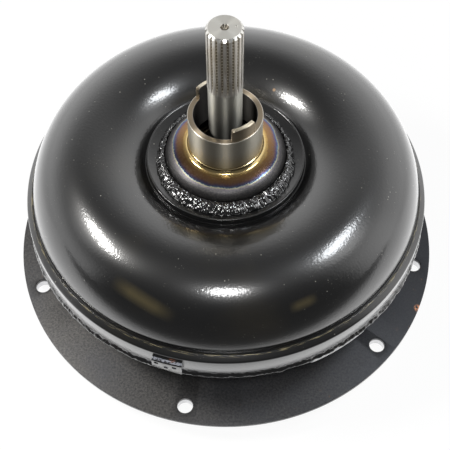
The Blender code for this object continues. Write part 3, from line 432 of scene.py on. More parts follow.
def paint(name, peel=0.3, dust=0.8, roughness=0.12, sparkle=2.6, depth=0.00010, glow=COAT_BLUR,
          bend_highlight_and_rust=False):
    """Gloss black enamel with orange peel, dust specks, oily streaks, a chip, and worn edges with painted
    glints. On the balance tag it also paints a highlight in patches on the bend, and a rusty spot.
    """
    g = new_graph(name)
    base = g.mix(g.remap(g.noise(12.0, 4.0), 0.54, 0.76), ENAMEL, ENAMEL_HAZE)
    fine_dust = g.times(g.fade(g.cells(560.0), 0.08, 0.16), g.remap(g.noise(95.0, 2.0), 0.56, 0.64),
                        0.35 * dust)
    base = g.mix(fine_dust, base, DUST)
    # Wear and painted glints together: pale scratched lines along the skirt's upper edge stand in for light
    # that the edge catches
    edge = g.fade(g.calc("ABSOLUTE", g.calc("SUBTRACT", g.radius(), WORN_GLINT_RADIUS)), 0.0003, 0.0010)
    scratches = g.remap(g.noise(900.0, 2.0, vector=g.turned_place(3.0, 3.0)), 0.54, 0.62)
    worn = g.times(edge, g.band(g.height(), WORN_GLINT_START, WORN_GLINT_END), scratches, 0.55)
    base = g.mix(worn, base, WORN_EDGE_AND_GLINTS)
    if bend_highlight_and_rust:
        # Painted highlight on the tag's bend, broken into patches like scraped paint
        highlight_patches = g.remap(g.noise(620.0, 4.0, rough=0.7), 0.44, 0.54)
        base = g.mix(g.times(g.band(g.radius(), BEND_HIGHLIGHT_START, BEND_HIGHLIGHT_END), highlight_patches), base, SCRAPED_BEND_HIGHLIGHT)
        holes_in_rust = g.remap(g.noise(700.0), 0.4, 0.55, 0.0, 0.7)
        base = g.mix(g.times(g.spot(RUST_PLACE, 0.0014, 0.0026), holes_in_rust), base, TAG_RUST)
    for middle, half, half_width in OIL_STREAKS:
        base = g.mix(g.streak(middle, half, half_width), base, OIL_FILM)
    base = g.mix(g.spot(CHIP_PLACE, 0.0008, 0.0013), base, CHIPPED)
    coarse_dust = g.times(g.fade(g.cells(230.0), 0.05, 0.12), g.remap(g.noise(60.0, 1.0), 0.55, 0.66), dust)
    g.set(Base_Color=g.mix(coarse_dust, base, DUST), Metallic=0.0, IOR=1.5,
          Roughness=g.remap(g.noise(9.0, 5.0), 0.3, 0.75, roughness * 0.85, roughness * 1.25),
          Coat_Weight=0.8, Coat_Roughness=glow, Coat_IOR=1.5)
    g.bump(g.plus(g.noise(620.0, 3.0), g.times(g.noise(640.0, 1.0), sparkle)), peel, depth)
    return g.owner


def phosphate_plate():
    """Satin dark sheet with a fine sparkling grain, a chip at its edge, small rust freckles, and painted
    shade that darkens it towards the right.
    """
    g = new_graph("scene_drive_plate")
    grain = g.noise(650.0, 4.0, rough=0.8)
    tone = g.mix(g.remap(grain, 0.36, 0.64), PLATE_GRAIN_DARK, PLATE_GRAIN_PALE)
    tone = g.mix(g.remap(g.noise(26.0, 5.0), 0.38, 0.68, 0.0, 0.35), tone, PLATE_CLOUD)
    # Painted shade, darker towards +X
    tone = g.mix(g.remap(g.parts()[0], *PLATE_SHADE_SPAN, 0.0, 0.80), tone, PLATE_RIGHT_SHADE)
    chip = g.times(g.spot(PLATE_CHIP_PLACE, 0.0020, 0.0034), g.remap(g.noise(520.0), 0.42, 0.52))
    tone = g.mix(chip, tone, PLATE_CHIP)
    freckles = g.times(g.remap(g.noise(160.0, 3.0), 0.66, 0.74), g.remap(g.noise(17.0, 2.0), 0.52, 0.7), 0.6)
    g.set(Base_Color=g.mix(freckles, tone, PLATE_RUST), Metallic=0.55,
          Roughness=g.remap(g.noise(300.0, 4.0), 0.3, 0.7, 0.38, 0.48))
    g.bump(grain, 0.35, 0.00008)
    return g.owner


def ground_steel(name, colour=(0.50, 0.49, 0.47), low=0.28, high=0.38):
    """Turned and ground steel with fine rings round the axis and faint stains."""
    g = new_graph(name)
    rings = g.noise(1500.0, 2.0, vector=g.turned_place(1.0, 1.0))
    tone = g.mix(g.remap(g.noise(60.0, 4.0), 0.4, 0.7, 0.0, 0.25), colour, (0.30, 0.27, 0.24))
    g.set(Base_Color=g.mix(g.remap(rings, 0.3, 0.7, 0.0, 0.3), tone, tuple(c * 0.75 for c in colour)),
          Metallic=1.0, Roughness=g.remap(rings, 0.3, 0.7, low, high))
    g.turning_marks(0.8)
    g.bump(rings, 0.12, 0.00002)
    return g.owner


def shaft_steel():
    """Ground shaft whose splined end is hobbed, with fine cutter marks across the teeth and painted glints
    dotted along their flanks. Painted shade darkens its groove floors, its centre drilling and its plain part
    low in the hub.
    """
    g = new_graph("scene_shaft_steel")
    rings = g.noise(1500.0, 2.0, vector=g.turned_place(1.0, 1.0))
    splined = g.remap(g.height(), *SHAFT_SPLINED)
    below_chamfer = g.fade(g.height(), *SHAFT_GROOVE_END)
    oil = g.remap(g.noise(70.0, 4.0), 0.42, 0.66, 0.0, 0.6)
    milled = g.mix(oil, (0.60, 0.58, 0.54), (0.38, 0.33, 0.25))
    # Painted shade in the floors of the spline's grooves
    groove = g.times(g.fade(g.radius(), *SHAFT_GROOVE), below_chamfer)
    milled = g.mix(groove, milled, (0.20, 0.165, 0.115))
    steps = g.node("ShaderNodeTexWave", {"Vector": g.place(), "Scale": SHAFT_CUTTER_SCALE, "Distortion": 0.3},
                   wave_type="BANDS", bands_direction="Z").outputs["Fac"]
    flank = g.times(g.fade(g.radius(), *SHAFT_FLANK), below_chamfer)
    # Painted glints: pale dots along the tooth flanks, at the cutter marks
    glint_dots = g.times(flank, splined, g.remap(steps, 0.64, 0.88, 0.0, 0.60))
    milled = g.mix(glint_dots, milled, (0.80, 0.75, 0.62))
    milled = g.mix(g.remap(g.height(), *SHAFT_CHAMFER), milled, (0.66, 0.65, 0.62))
    # Painted shade inside the centre drilling
    milled = g.mix(g.fade(g.radius(), *SHAFT_DRILLING_SHADE), milled, (0.16, 0.145, 0.12))
    # Painted shade on the plain part down in the hub's tube, darker further down
    plain = g.mix(g.remap(g.height(), *SHAFT_SUNK_SHADE), (0.085, 0.083, 0.078), (0.45, 0.44, 0.39))
    tone = g.mix(splined, plain, milled)
    g.set(Base_Color=g.mix(g.remap(g.height(), *SHAFT_FACE), tone, (0.50, 0.49, 0.455)),
          Metallic=g.calc("SUBTRACT", 1.0, glint_dots),
          Roughness=g.plus(g.remap(rings, 0.3, 0.7, 0.34, 0.42), g.times(splined, -0.02)))
    g.turning_marks(g.calc("SUBTRACT", 0.95, g.times(splined, 0.25)))
    cutter = g.plus(g.times(g.noise(1000.0, 2.0, rough=0.6), 3.0), g.times(steps, 4.0))
    g.bump(g.plus(rings, g.times(cutter, splined)), 0.25, 0.00003)
    return g.owner


def heat_tinted_steel():
    """The pump drive hub: ground tube, and a flange tinted by welding heat from gold to blue and grey. Its
    bore is near black inside as painted shade.
    """
    g = new_graph("scene_pump_drive_hub")
    wander = g.remap(g.noise(30.0, 3.0), 0.3, 0.7, -0.0011, 0.0011)
    flake = g.remap(g.noise(900.0, 2.0), 0.45, 0.7, 0.0, 0.0006)
    radius = g.plus(g.radius(), wander, flake)
    flange = g.ramp(g.remap(radius, *HUB_TINT_SPAN), HUB_TINTS)
    tube = g.mix(g.remap(g.height(), *HUB_TUBE), (0.37, 0.31, 0.19), (0.42, 0.395, 0.33))
    rim = g.mix(g.band(g.radius(), HUB_FLAT_START, HUB_FLAT_END), (0.74, 0.70, 0.62), (0.27, 0.22, 0.155))
    top = g.mix(g.remap(g.height(), *HUB_RIM_FACE), tube, rim)
    top = g.mix(g.remap(g.height(), *HUB_TANG_END), top, (0.56, 0.50, 0.39))
    upper = g.remap(g.height(), *HUB_UPPER)
    outside = g.mix(upper, flange, top)
    rings = g.noise(1600.0, 2.0, vector=g.turned_place(0.6, 1.0))
    worn = g.mix(g.remap(rings, 0.35, 0.7, 0.0, 0.25), outside, (0.22, 0.20, 0.18))
    # Painted shade: the hub's bore is made near black inside
    inside = g.fade(g.radius(), *HUB_INSIDE_SHADE)
    scale = g.remap(radius, *HUB_SCALE)
    g.set(Base_Color=g.mix(inside, worn, (0.050, 0.047, 0.043)), Metallic=1.0,
          Roughness=g.plus(g.remap(rings, 0.3, 0.7, 0.14, 0.20), g.times(scale, 0.30), g.times(upper, 0.22)))
    g.turning_marks(g.times(upper, 0.95))
    g.bump(g.plus(rings, g.times(g.noise(1100.0, 2.0), 0.8)), 0.16, 0.00003)
    return g.owner


def plain_metal(name, colour, roughness, scale=500.0, bump=0.15):
    """Metal with a fine grain, for castings, bushes, springs and sheet inside."""
    g = new_graph(name)
    grain = g.noise(scale, 4.0, rough=0.65)
    darker = tuple(c * 0.72 for c in colour)
    g.set(Base_Color=g.mix(g.remap(grain, 0.35, 0.7, 0.0, 0.6), colour, darker), Metallic=1.0,
          Roughness=g.remap(g.noise(80.0, 3.0), 0.3, 0.7, roughness * 0.8, roughness * 1.25))
    g.bump(grain, bump, 0.00005)
    return g.owner


black = paint("scene_gloss_black")
weld_black = paint("scene_weld_black", peel=0.7, dust=0.2, roughness=0.16, sparkle=1.0, depth=0.00005,
                   glow=0.12)
tag_paint = paint("scene_tag_paint", peel=0.6, dust=0.4, roughness=0.22, sparkle=1.6, bend_highlight_and_rust=True)
plate_finish = phosphate_plate()
hub_finish = heat_tinted_steel()
shaft_finish = shaft_steel()
pilot_finish = ground_steel("scene_pilot_steel")
zinc = plain_metal("scene_zinc", (0.46, 0.46, 0.47), 0.34)
bronze = plain_metal("scene_bronze", (0.52, 0.33, 0.14), 0.32, 700.0)
oily_bronze = plain_metal("scene_oily_bronze", (0.045, 0.034, 0.022), 0.5, 700.0)
sheet = plain_metal("scene_pressed_sheet", (0.37, 0.37, 0.38), 0.36)
aluminium = plain_metal("scene_cast_aluminium", (0.58, 0.59, 0.60), 0.48, 350.0, bump=0.35)
hard_steel = ground_steel("scene_hardened_steel", (0.44, 0.44, 0.45), 0.14, 0.24)
spring = plain_metal("scene_spring_steel", (0.27, 0.29, 0.34), 0.28)

for name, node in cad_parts.items():
    finish = hard_steel
    if name.startswith(("impeller_blade", "turbine_blade", "turbine_shell")):
        finish = sheet
    elif "washer" in name or "bush" in name:
        finish = bronze
    elif name.startswith(("turbine_rivet", "plate_bolt")):
        finish = zinc
    elif name == "stator_wheel" or "side_plate" in name:
        finish = aluminium
    elif "spring" in name or name == "shaft_snap_ring":
        finish = spring
    elif name == "turbine_hub":
        finish = pilot_finish
    for slot in node.material_slots:
        slot.material = finish


# Drive plate with its holes and the spacers welded under them

PLATE_BORE = 25.4
PLATE_RADIUS = 157.5
PLATE_EDGE = 0.5
LUG_HOLE_RADIUS = 5.6
HOLE_CHAMFER = 0.4
CUT_PAST = 2.0
SPACER_RADIUS = 9.5
SPACER_BOTTOM = 11.4
SPACER_TOP = PLATE_BOTTOM + 0.5


def hole_cutter(bm, radius, place, segments):
    """Bore through the plate with a small chamfer where it breaks through each face."""
    wide = radius + HOLE_CHAMFER + CUT_PAST
    sweep(bm, [(0.0, PLATE_BOTTOM - CUT_PAST), (wide, PLATE_BOTTOM - CUT_PAST),
               (radius, PLATE_BOTTOM + HOLE_CHAMFER), (radius, PLATE_TOP - HOLE_CHAMFER),
               (wide, PLATE_TOP + CUT_PAST), (0.0, PLATE_TOP + CUT_PAST)], segments, place=place)
    bmesh.ops.remove_doubles(bm, verts=bm.verts, dist=MERGE)


plate = turned("drive_plate_sheet",
               rounded([(PLATE_BORE, PLATE_BOTTOM), (PLATE_RADIUS, PLATE_BOTTOM, PLATE_EDGE),
                        (PLATE_RADIUS, PLATE_TOP, PLATE_EDGE), (PLATE_BORE, PLATE_TOP)]),
               plate_finish, node="drive_plate", slot="dark_plate")
holes = bmesh.new()
for angle in HOLE_ANGLES:
    hole_cutter(holes, HOLE_RADIUS, on_circle(HOLE_CIRCLE, angle), HOLE_ROUND)
for angle in LUG_ANGLES:
    hole_cutter(holes, LUG_HOLE_RADIUS, on_circle(LUG_CIRCLE, angle), LUG_HOLE_ROUND)
cut(plate, holes, "hole_cutters")

spacers = bmesh.new()
for angle in HOLE_ANGLES:
    sweep(spacers, rounded([(HOLE_RADIUS, SPACER_BOTTOM, 0.4), (SPACER_RADIUS, SPACER_BOTTOM, 0.6),
                            (SPACER_RADIUS, SPACER_TOP), (HOLE_RADIUS, SPACER_TOP)]),
          HOLE_ROUND, place=on_circle(HOLE_CIRCLE, angle))
finish_piece("plate_spacers", spacers, zinc, node="drive_plate", slot="zinc_steel")


# Impeller shell: raised ring, dome, grooved shoulder and skirt

SHELL_WALL = 3.6
TORUS_RADIUS = 92.0
TORUS_HEIGHT = 89.1
DOME_MINOR = 45.3
DOME_END_ANGLE = 8.8
RING_BORE = 36.2
RING_RADIUS = 54.7
RING_LIP_TOP = RING_TOP + 0.3
VALLEY_RADIUS = 56.3
SHOULDER_RADIUS = 135.8
SKIRT_RADIUS = 142.5
SKIRT_CEILING = 87.0

valley_angle = math.degrees(math.acos((VALLEY_RADIUS - TORUS_RADIUS) / DOME_MINOR))
valley_height = TORUS_HEIGHT + math.sqrt(DOME_MINOR ** 2 - (TORUS_RADIUS - VALLEY_RADIUS) ** 2)
raised_ring = [(RING_BORE, RING_TOP - SHELL_WALL), (RING_BORE, RING_TOP, 0.3), (53.3, RING_TOP),
               (53.7, RING_LIP_TOP, 0.25), (RING_RADIUS, RING_LIP_TOP, 0.4),
               (VALLEY_RADIUS - 0.9, valley_height - 0.1)]
shoulder = [(136.8, 95.65, 0.25), (SHOULDER_RADIUS, 94.95, 0.2), (SHOULDER_RADIUS, 94.1), (136.1, 93.85),
            (SHOULDER_RADIUS, 93.6), (SHOULDER_RADIUS, 91.1, 0.15), (136.9, 91.08), (137.15, 91.35),
            (137.4, 91.06), (138.5, 91.0, 0.2)]
skirt = [(SKIRT_RADIUS, 88.3, 1.9), (SKIRT_RADIUS, SKIRT_BOTTOM, 1.3), (SKIRT_INNER, SKIRT_BOTTOM),
         (SKIRT_INNER, SKIRT_CEILING), (133.7, SKIRT_CEILING)]
shell_outline = rounded(
    raised_ring
    + arc(TORUS_RADIUS, TORUS_HEIGHT, DOME_MINOR, valley_angle - 1.5, DOME_END_ANGLE, 40)
    + shoulder + skirt
    + arc(TORUS_RADIUS, TORUS_HEIGHT, DOME_MINOR - SHELL_WALL, 2.0, 138.0, 20), 4)
turned("impeller_shell_pressing", shell_outline, black, node="impeller_shell", slot="black_paint")


# Weld bead round the seam between shell and cover, undercut where it meets the skirt

SEAM_SHARP = 60.0
SEAM_OUTLINE = [(SKIRT_INNER, 72.5), (141.8, 72.6), (142.0, 72.0), (142.0, 71.5), (142.3, 71.0),
                (142.8, 70.4), (143.2, 69.9), (143.5, 69.4), (143.6, 69.0), (143.5, 68.6), (143.0, 68.2),
                (141.6, 67.8), (SKIRT_INNER, 67.2)]
SEAM_FIXED = (0, 1, len(SEAM_OUTLINE) - 1)
SEAM_LUMPS = ((0.5, 0.35, 30.0, 3.0), (0.4, 0.6, 75.0, 9.0), (0.3, 1.1, 160.0, 15.0))
SEAM_SAGS = ((0.9, 0.0, 22.0, 21.0), (0.55, 0.3, 70.0, 33.0))
# Distance below the skirt at which the bead sags by its full amount
SEAM_SAG_DEPTH = 4.0


def seam_shift(angle, index, point):
    if index in SEAM_FIXED:
        return point
    radius, height = point
    sag = ripples(angle, height, SEAM_SAGS)
    return (radius + ripples(angle, height, SEAM_LUMPS),
            height + sag * (SKIRT_BOTTOM - height) / SEAM_SAG_DEPTH)


turned("seam_weld_bead", SEAM_OUTLINE, weld_black, SEAM_ROUND, seam_shift, node="seam_weld",
       slot="painted_weld", sharp=SEAM_SHARP)


# Weld bead round the hub's flange, wider in front

BEAD_INNER = 42.0
BEAD_CREST = 46.0
BEAD_HALF = 5.0
BEAD_SCALES = 84.0
BEAD_OUTLINE = [(BEAD_INNER, 121.2), (51.0, 121.1), (50.8, 121.5), (50.3, 121.9), (49.8, 122.3),
                (49.2, 122.7), (48.6, 123.1), (48.0, 123.5), (47.4, 123.9), (46.8, 124.2), (46.2, 124.5),
                (45.6, 124.7), (45.0, 124.9), (44.4, 125.0), (43.8, 125.0), (43.2, 124.9), (42.6, 124.7),
                (42.1, 124.4)]
BEAD_FIXED = (0, len(BEAD_OUTLINE) - 1)
BEAD_LUMPS = ((0.9, 0.12, 13.0, 41.0), (0.75, 0.40, 30.0, 51.0), (0.30, 0.9, 62.0, 61.0),
              (0.07, 2.0, 130.0, 71.0))


def hub_bead_shift(angle, index, point):
    if index in BEAD_FIXED:
        return point
    radius, height = point
    swing = 0.5 * ripple(angle, 0.0, 7.0, 5.0)
    scales = 0.10 * math.sin(BEAD_SCALES * angle + 9.0 * swing + 0.35 * (radius - BEAD_INNER))
    rise = scales * (1.0 - abs(radius - BEAD_CREST) / BEAD_HALF) + ripples(angle, radius, BEAD_LUMPS)
    if index == 1:
        rise *= 0.3
    width = 0.58 + 0.42 * max(0.0, -math.sin(angle)) ** 0.7 + 0.12 * swing
    return BEAD_INNER + (radius - BEAD_INNER) * min(1.05, width), height + rise


turned("hub_weld_bead", BEAD_OUTLINE, weld_black, HUB_BEAD_ROUND, hub_bead_shift, node="hub_weld",
       slot="painted_weld", sharp=SEAM_SHARP)


# Pump drive hub, its tangs and bush

HUB_RADIUS = 25.0
HUB_BORE = 21.1
HUB_FOOT = 108.0
HUB_SPIGOT = 35.7
HUB_NECK = 24.75
HUB_RIM = 164.3855
RIM_ROUNDING = 0.35
FLANGE_RADIUS = 41.7
FLANGE_BOTTOM = RING_TOP + 0.3
FLANGE_EDGE = RING_TOP + 7.9
FLANGE_TOP = RING_TOP + 11.6
TANG_ANGLES = (-58.5, 121.5)
TANG_HALF = 21.5
TANG_STEPS = 26
TANG_INNER = HUB_BORE + 0.02
TANG_MIDDLE = 22.3
TANG_OUTER = 23.9
TANG_FOOT = HUB_RIM - 0.8
TANG_TOP = 174.3855
TANG_CORNER = 1.6
TANG_EDGE = 0.35
BUSH_BORE = 19.3
BUSH_RADIUS = 20.8
BUSH_BOTTOM = 109.0
BUSH_TOP = 129.0

hub_outline = rounded(
    [(HUB_BORE, HUB_FOOT, 0.4), (HUB_SPIGOT, HUB_FOOT, 0.6), (HUB_SPIGOT, FLANGE_BOTTOM),
     (FLANGE_RADIUS, FLANGE_BOTTOM), (FLANGE_RADIUS, FLANGE_EDGE, 8.0)]
    + arc(28.6, FLANGE_TOP + 4.3, 3.4, 266.0, 182.0, 10)
    + [(HUB_NECK, FLANGE_TOP + 4.4), (HUB_NECK, FLANGE_TOP + 4.9), (HUB_RADIUS, FLANGE_TOP + 5.2),
       (HUB_RADIUS, HUB_RIM, RIM_ROUNDING), (HUB_BORE, HUB_RIM, RIM_ROUNDING)], 6)
turned("pump_drive_tube", hub_outline, hub_finish, HUB_ROUND, node="pump_drive_hub", slot="ground_steel")


def tang_ring(bm, middle, share):
    """Section of a tang at a share of its length, lower within its rounded end corners."""
    from_end = min(share, 1.0 - share) * math.radians(2 * TANG_HALF) * TANG_MIDDLE
    corner = max(0.0, 1.0 - from_end / TANG_CORNER)
    top = TANG_TOP - TANG_CORNER * (1.0 - math.sqrt(max(0.0, 1.0 - corner ** 2)))
    return upright_ring(bm, middle + TANG_HALF * (2 * share - 1),
                        [(TANG_INNER, TANG_FOOT), (TANG_OUTER, TANG_FOOT), (TANG_OUTER, top - TANG_EDGE),
                         (TANG_OUTER - TANG_EDGE, top), (HUB_BORE + TANG_EDGE, top),
                         (TANG_INNER, top - TANG_EDGE)])


tangs = bmesh.new()
for middle in TANG_ANGLES:
    skin(tangs, [tang_ring(tangs, middle, k / TANG_STEPS) for k in range(TANG_STEPS + 1)])
finish_piece("pump_drive_tangs", tangs, hub_finish, node="pump_drive_hub", slot="ground_steel")

turned("hub_bush_sleeve",
       rounded([(BUSH_BORE, BUSH_BOTTOM, 0.4), (BUSH_RADIUS, BUSH_BOTTOM, 0.3), (BUSH_RADIUS, BUSH_TOP, 0.3),
                (BUSH_BORE, BUSH_TOP, 0.4)]),
       oily_bronze, BUSH_ROUND, node="hub_bush", slot="bearing_bronze")


# Turbine shaft with its spline

SHAFT_TOP = 242.8855
SHAFT_BOTTOM = 26.6
TEETH = 20
TIP = 11.5
ROOT = 10.2
PLAIN = 11.15
SPLINE_FOOT = SHAFT_TOP - 40.0
RUN_OUT_FOOT = SPLINE_FOOT - 9.7
CHAMFER_REACH = 1.5
CHAMFER_DROP = 1.6
# Shares of the pitch, counted from a groove's middle, where its floor ends and where the tip begins
FLOOR_SHARE = 0.10
TIP_SHARE = 0.24
GROOVE_STATIONS = (0.0, 0.05, FLOOR_SHARE, 0.135, 0.17, 0.205, TIP_SHARE, 0.33, 0.42, 0.5)
# Outline of the plain end below the run-out, and of the centre drilling
PLAIN_END = ((0.0, SHAFT_BOTTOM), (9.5, SHAFT_BOTTOM), (10.0, SHAFT_BOTTOM + 0.5), (10.0, 46.5),
             (PLAIN, 46.8), (PLAIN, RUN_OUT_FOOT - 0.5), (TIP, RUN_OUT_FOOT - 0.15))
DRILLING = ((2.7, SHAFT_TOP), (2.5, SHAFT_TOP - 0.25), (1.35, SHAFT_TOP - 1.7), (1.1, SHAFT_TOP - 2.0),
            (0.0, SHAFT_TOP - 2.5))
PUNCH_PLACE = (7.0, 0.6)
PUNCH_OUTLINE = [(0.0, SHAFT_TOP - 0.9), (0.9, SHAFT_TOP + 0.3), (0.0, SHAFT_TOP + 0.3)]


def spline_radius(share, height):
    """Radius of the splined end, share being the part of the pitch from a groove's middle."""
    climb = min(1.0, max(0.0, (share - FLOOR_SHARE) / (TIP_SHARE - FLOOR_SHARE)))
    radius = ROOT + (TIP - ROOT) * climb ** 0.85
    if height < SPLINE_FOOT:
        rise = (SPLINE_FOOT - height) / (SPLINE_FOOT - RUN_OUT_FOOT)
        radius += (TIP - ROOT + 0.1) * rise ** 1.8
    return min(radius, TIP, TIP - CHAMFER_REACH * (1.0 - (SHAFT_TOP - height) / CHAMFER_DROP))


def shaft_ring(bm, height, radius=None):
    """Ring of the shaft, splined where no radius is given."""
    ring = []
    shares = [-share for share in GROOVE_STATIONS[-2:0:-1]] + list(GROOVE_STATIONS)
    for tooth in range(TEETH):
        for share in shares:
            reach = spline_radius(abs(share), height) if radius is None else radius
            angle = math.tau * (tooth + 0.5 + share) / TEETH
            ring.append(bm.verts.new((reach * math.cos(angle), reach * math.sin(angle), height)))
    return ring


shaft = bmesh.new()
levels = [RUN_OUT_FOOT + (SPLINE_FOOT - RUN_OUT_FOOT) * k / 14 for k in range(15)]
levels += [SPLINE_FOOT + (SHAFT_TOP - CHAMFER_DROP - SPLINE_FOOT) * k / 4 for k in range(1, 5)]
levels += [SHAFT_TOP - CHAMFER_DROP * share for share in (0.78, 0.56, 0.35, 0.15, 0.0)]
rings = [shaft_ring(shaft, height, radius) for radius, height in PLAIN_END]
rings += [shaft_ring(shaft, height) for height in levels]
rings += [shaft_ring(shaft, height, radius) for radius, height in DRILLING]
skin(shaft, rings, caps=False)
shaft_piece = finish_piece("turbine_shaft_spline", shaft, shaft_finish, node="turbine_shaft",
                           slot="ground_steel", body="turbine", sharp=26.0)
punch = bmesh.new()
sweep(punch, PUNCH_OUTLINE, MARK_ROUND, place=PUNCH_PLACE)
cut(shaft_piece, punch, "punch_mark")


# Front cover with its lugs

COVER_RADIUS = 138.7
COVER_BORE = 27.2
COVER_CORNER = 24.0
COVER_WALL = 4.0
COVER_RIM = 86.7
LUG_BORE = 5.0
LUG_RADIUS = 11.0
LUG_BOTTOM = 20.3
LUG_TOP = COVER_BOTTOM + 0.6
LUG_BEAD = [(10.5, COVER_BOTTOM + 0.4), (14.2, COVER_BOTTOM + 0.2), (13.4, COVER_BOTTOM - 1.2),
            (12.0, COVER_BOTTOM - 2.6), (10.8, COVER_BOTTOM - 3.6)]


def lug_bead_shift(angle, index, point):
    return point[0] + 0.25 * ripple(angle, 0.0, 4.0, 2.0), point[1]


corner_radius = COVER_RADIUS - COVER_CORNER
corner_height = COVER_BOTTOM + COVER_CORNER
cover_outline = ([(COVER_BORE, COVER_BOTTOM)]
                 + arc(corner_radius, corner_height, COVER_CORNER, -90.0, 0.0, 14)
                 + [(COVER_RADIUS, COVER_RIM), (COVER_RADIUS - COVER_WALL, COVER_RIM)]
                 + arc(corner_radius, corner_height, COVER_CORNER - COVER_WALL, 0.0, -90.0, 10)
                 + [(COVER_BORE, COVER_BOTTOM + COVER_WALL)])
turned("front_cover_bowl", cover_outline, black, node="front_cover", slot="black_paint")

lugs = bmesh.new()
for angle in LUG_ANGLES:
    lug_place = on_circle(LUG_CIRCLE, angle)
    sweep(lugs, rounded([(LUG_BORE, LUG_BOTTOM, 0.5), (LUG_RADIUS, LUG_BOTTOM, 0.8), (LUG_RADIUS, LUG_TOP),
                         (LUG_BORE, LUG_TOP)]), BOLT_ROUND, place=lug_place)
    sweep(lugs, LUG_BEAD, BOLT_ROUND, shift=lug_bead_shift, place=lug_place)
finish_piece("cover_lugs", lugs, weld_black, node="front_cover", slot="black_paint")


# Bolts that hold the plate on the lugs: hexagon head, washer face, shank and tapered end

HEX_HALF = 7.97
BOLT_CROWN = ((0.0, 10.7), (5.6, 10.7), (7.9, 10.5))
BOLT_FLATS = ((9.2, 11.3), (9.2, 15.0))
BOLT_STEM = ((9.0, 15.3), (9.2, 15.6), (9.2, 16.5), (5.0, 16.5), (5.0, 31.5), (4.2, 32.4), (0.0, 32.4))


def bolt_ring(bm, place, facing, radius, height, flats=False):
    """Ring of a bolt at a place, cut back to the hexagon where it has flats."""
    ring = []
    for k in range(BOLT_ROUND):
        turn = math.tau * k / BOLT_ROUND
        flat = HEX_HALF / math.cos((turn + math.pi / 6) % (math.pi / 3) - math.pi / 6)
        reach = min(radius, flat) if flats else radius
        ring.append(bm.verts.new((place[0] + reach * math.cos(turn + facing),
                                  place[1] + reach * math.sin(turn + facing), height)))
    return ring


for number, angle in enumerate(LUG_ANGLES, 1):
    bolt = bmesh.new()
    place = on_circle(LUG_CIRCLE, angle)
    facing = math.radians(angle)
    rings = [bolt_ring(bolt, place, facing, *row) for row in BOLT_CROWN]
    rings += [bolt_ring(bolt, place, facing, *row, flats=True) for row in BOLT_FLATS]
    rings += [bolt_ring(bolt, place, facing, *row) for row in BOLT_STEM]
    skin(bolt, rings, caps=False)
    finish_piece(f"plate_screw_{number}", bolt, zinc, node=f"plate_bolt_{number}", slot="zinc_steel")


# Crank pilot with a groove round its spigot and a bore that holds the pilot bush

PILOT_RADIUS = 25.0
PILOT_GROOVE = 24.6
PILOT_FLANGE = 32.0
PILOT_FLANGE_BOTTOM = 33.2
PILOT_FLANGE_TOP = 37.7
PILOT_HUB = 26.7
PILOT_TOP = 44.3
PILOT_BORE = 13.4
PILOT_BORE_FLOOR = 26.0

turned("crank_pilot_spigot",
       rounded([(0.0, 0.6), (6.0, 0.6, 0.2), (6.6, 0.0, 0.2), (PILOT_RADIUS, 0.0, 1.2),
                (PILOT_RADIUS, 9.0, 0.2), (PILOT_GROOVE, 9.4, 0.2), (PILOT_GROOVE, 10.6, 0.2),
                (PILOT_RADIUS, 11.0, 0.2), (PILOT_RADIUS, PILOT_FLANGE_BOTTOM, 0.3),
                (PILOT_FLANGE, PILOT_FLANGE_BOTTOM, 0.8), (PILOT_FLANGE, PILOT_FLANGE_TOP, 0.3),
                (PILOT_HUB, PILOT_FLANGE_TOP), (PILOT_HUB, PILOT_TOP, 0.4), (PILOT_BORE, PILOT_TOP, 0.4),
                (PILOT_BORE, PILOT_BORE_FLOOR, 0.4), (0.0, PILOT_BORE_FLOOR)]),
       pilot_finish, PILOT_ROUND, node="crank_pilot", slot="ground_steel")


# Balance tag on the skirt, with a slanted foot, a bend and three dimples

TAG_START = 250.3
TAG_SPAN = 8.0
TAG_STEPS = 16
TAG_SEAT = 142.6
TAG_BACK = 144.2
TAG_FACE = 145.8
TAG_TOP = 86.9
TAG_FOOT_START = 75.4
TAG_FOOT_DROP = 3.6
DIMPLE_PLACES = ((251.5, 80.9), (254.1, 77.9), (256.3, 79.8))
DIMPLE_WIDTH = 1.55
DIMPLE_HEIGHT = 1.5
# Distance of a dimple's rings from the axis, and their size as a share of its own
DIMPLE_RINGS = ((147.6, 1.25), (TAG_FACE, 1.0), (143.3, 0.8))

tag = bmesh.new()
tag_rings = []
for k in range(TAG_STEPS + 1):
    foot = TAG_FOOT_START - TAG_FOOT_DROP * k / TAG_STEPS
    tag_rings.append(upright_ring(tag, TAG_START + TAG_SPAN * k / TAG_STEPS, rounded(
        [(TAG_SEAT, TAG_TOP, 0.2), (142.75, 76.2), (TAG_BACK, 76.0), (TAG_BACK, foot, 0.2),
         (TAG_FACE, foot, 0.5), (TAG_FACE, 83.1, 0.4), (145.15, 83.9, 0.2), (143.55, 84.8, 0.2)])))
skin(tag, tag_rings)
tag_piece = finish_piece("balance_tag_plate", tag, tag_paint, node="balance_tag", slot="painted_weld")


def dimple_ring(bm, angle, height, distance, size):
    """Ring of a dimple's cutter, which points away from the axis."""
    turn = math.radians(angle)
    out = Vector((math.cos(turn), math.sin(turn), 0.0))
    side = Vector((-math.sin(turn), math.cos(turn), 0.0))
    ring = []
    for k in range(MARK_ROUND):
        phase = math.tau * k / MARK_ROUND
        level = Vector((0, 0, height + DIMPLE_HEIGHT * size * math.sin(phase)))
        ring.append(bm.verts.new(out * distance + side * (DIMPLE_WIDTH * size * math.cos(phase)) + level))
    return ring


dimples = bmesh.new()
for angle, height in DIMPLE_PLACES:
    skin(dimples, [dimple_ring(dimples, angle, height, *ring) for ring in DIMPLE_RINGS])
cut(tag_piece, dimples, "dimple_cutters")


# Balance strip on the cover, thinner towards its ends

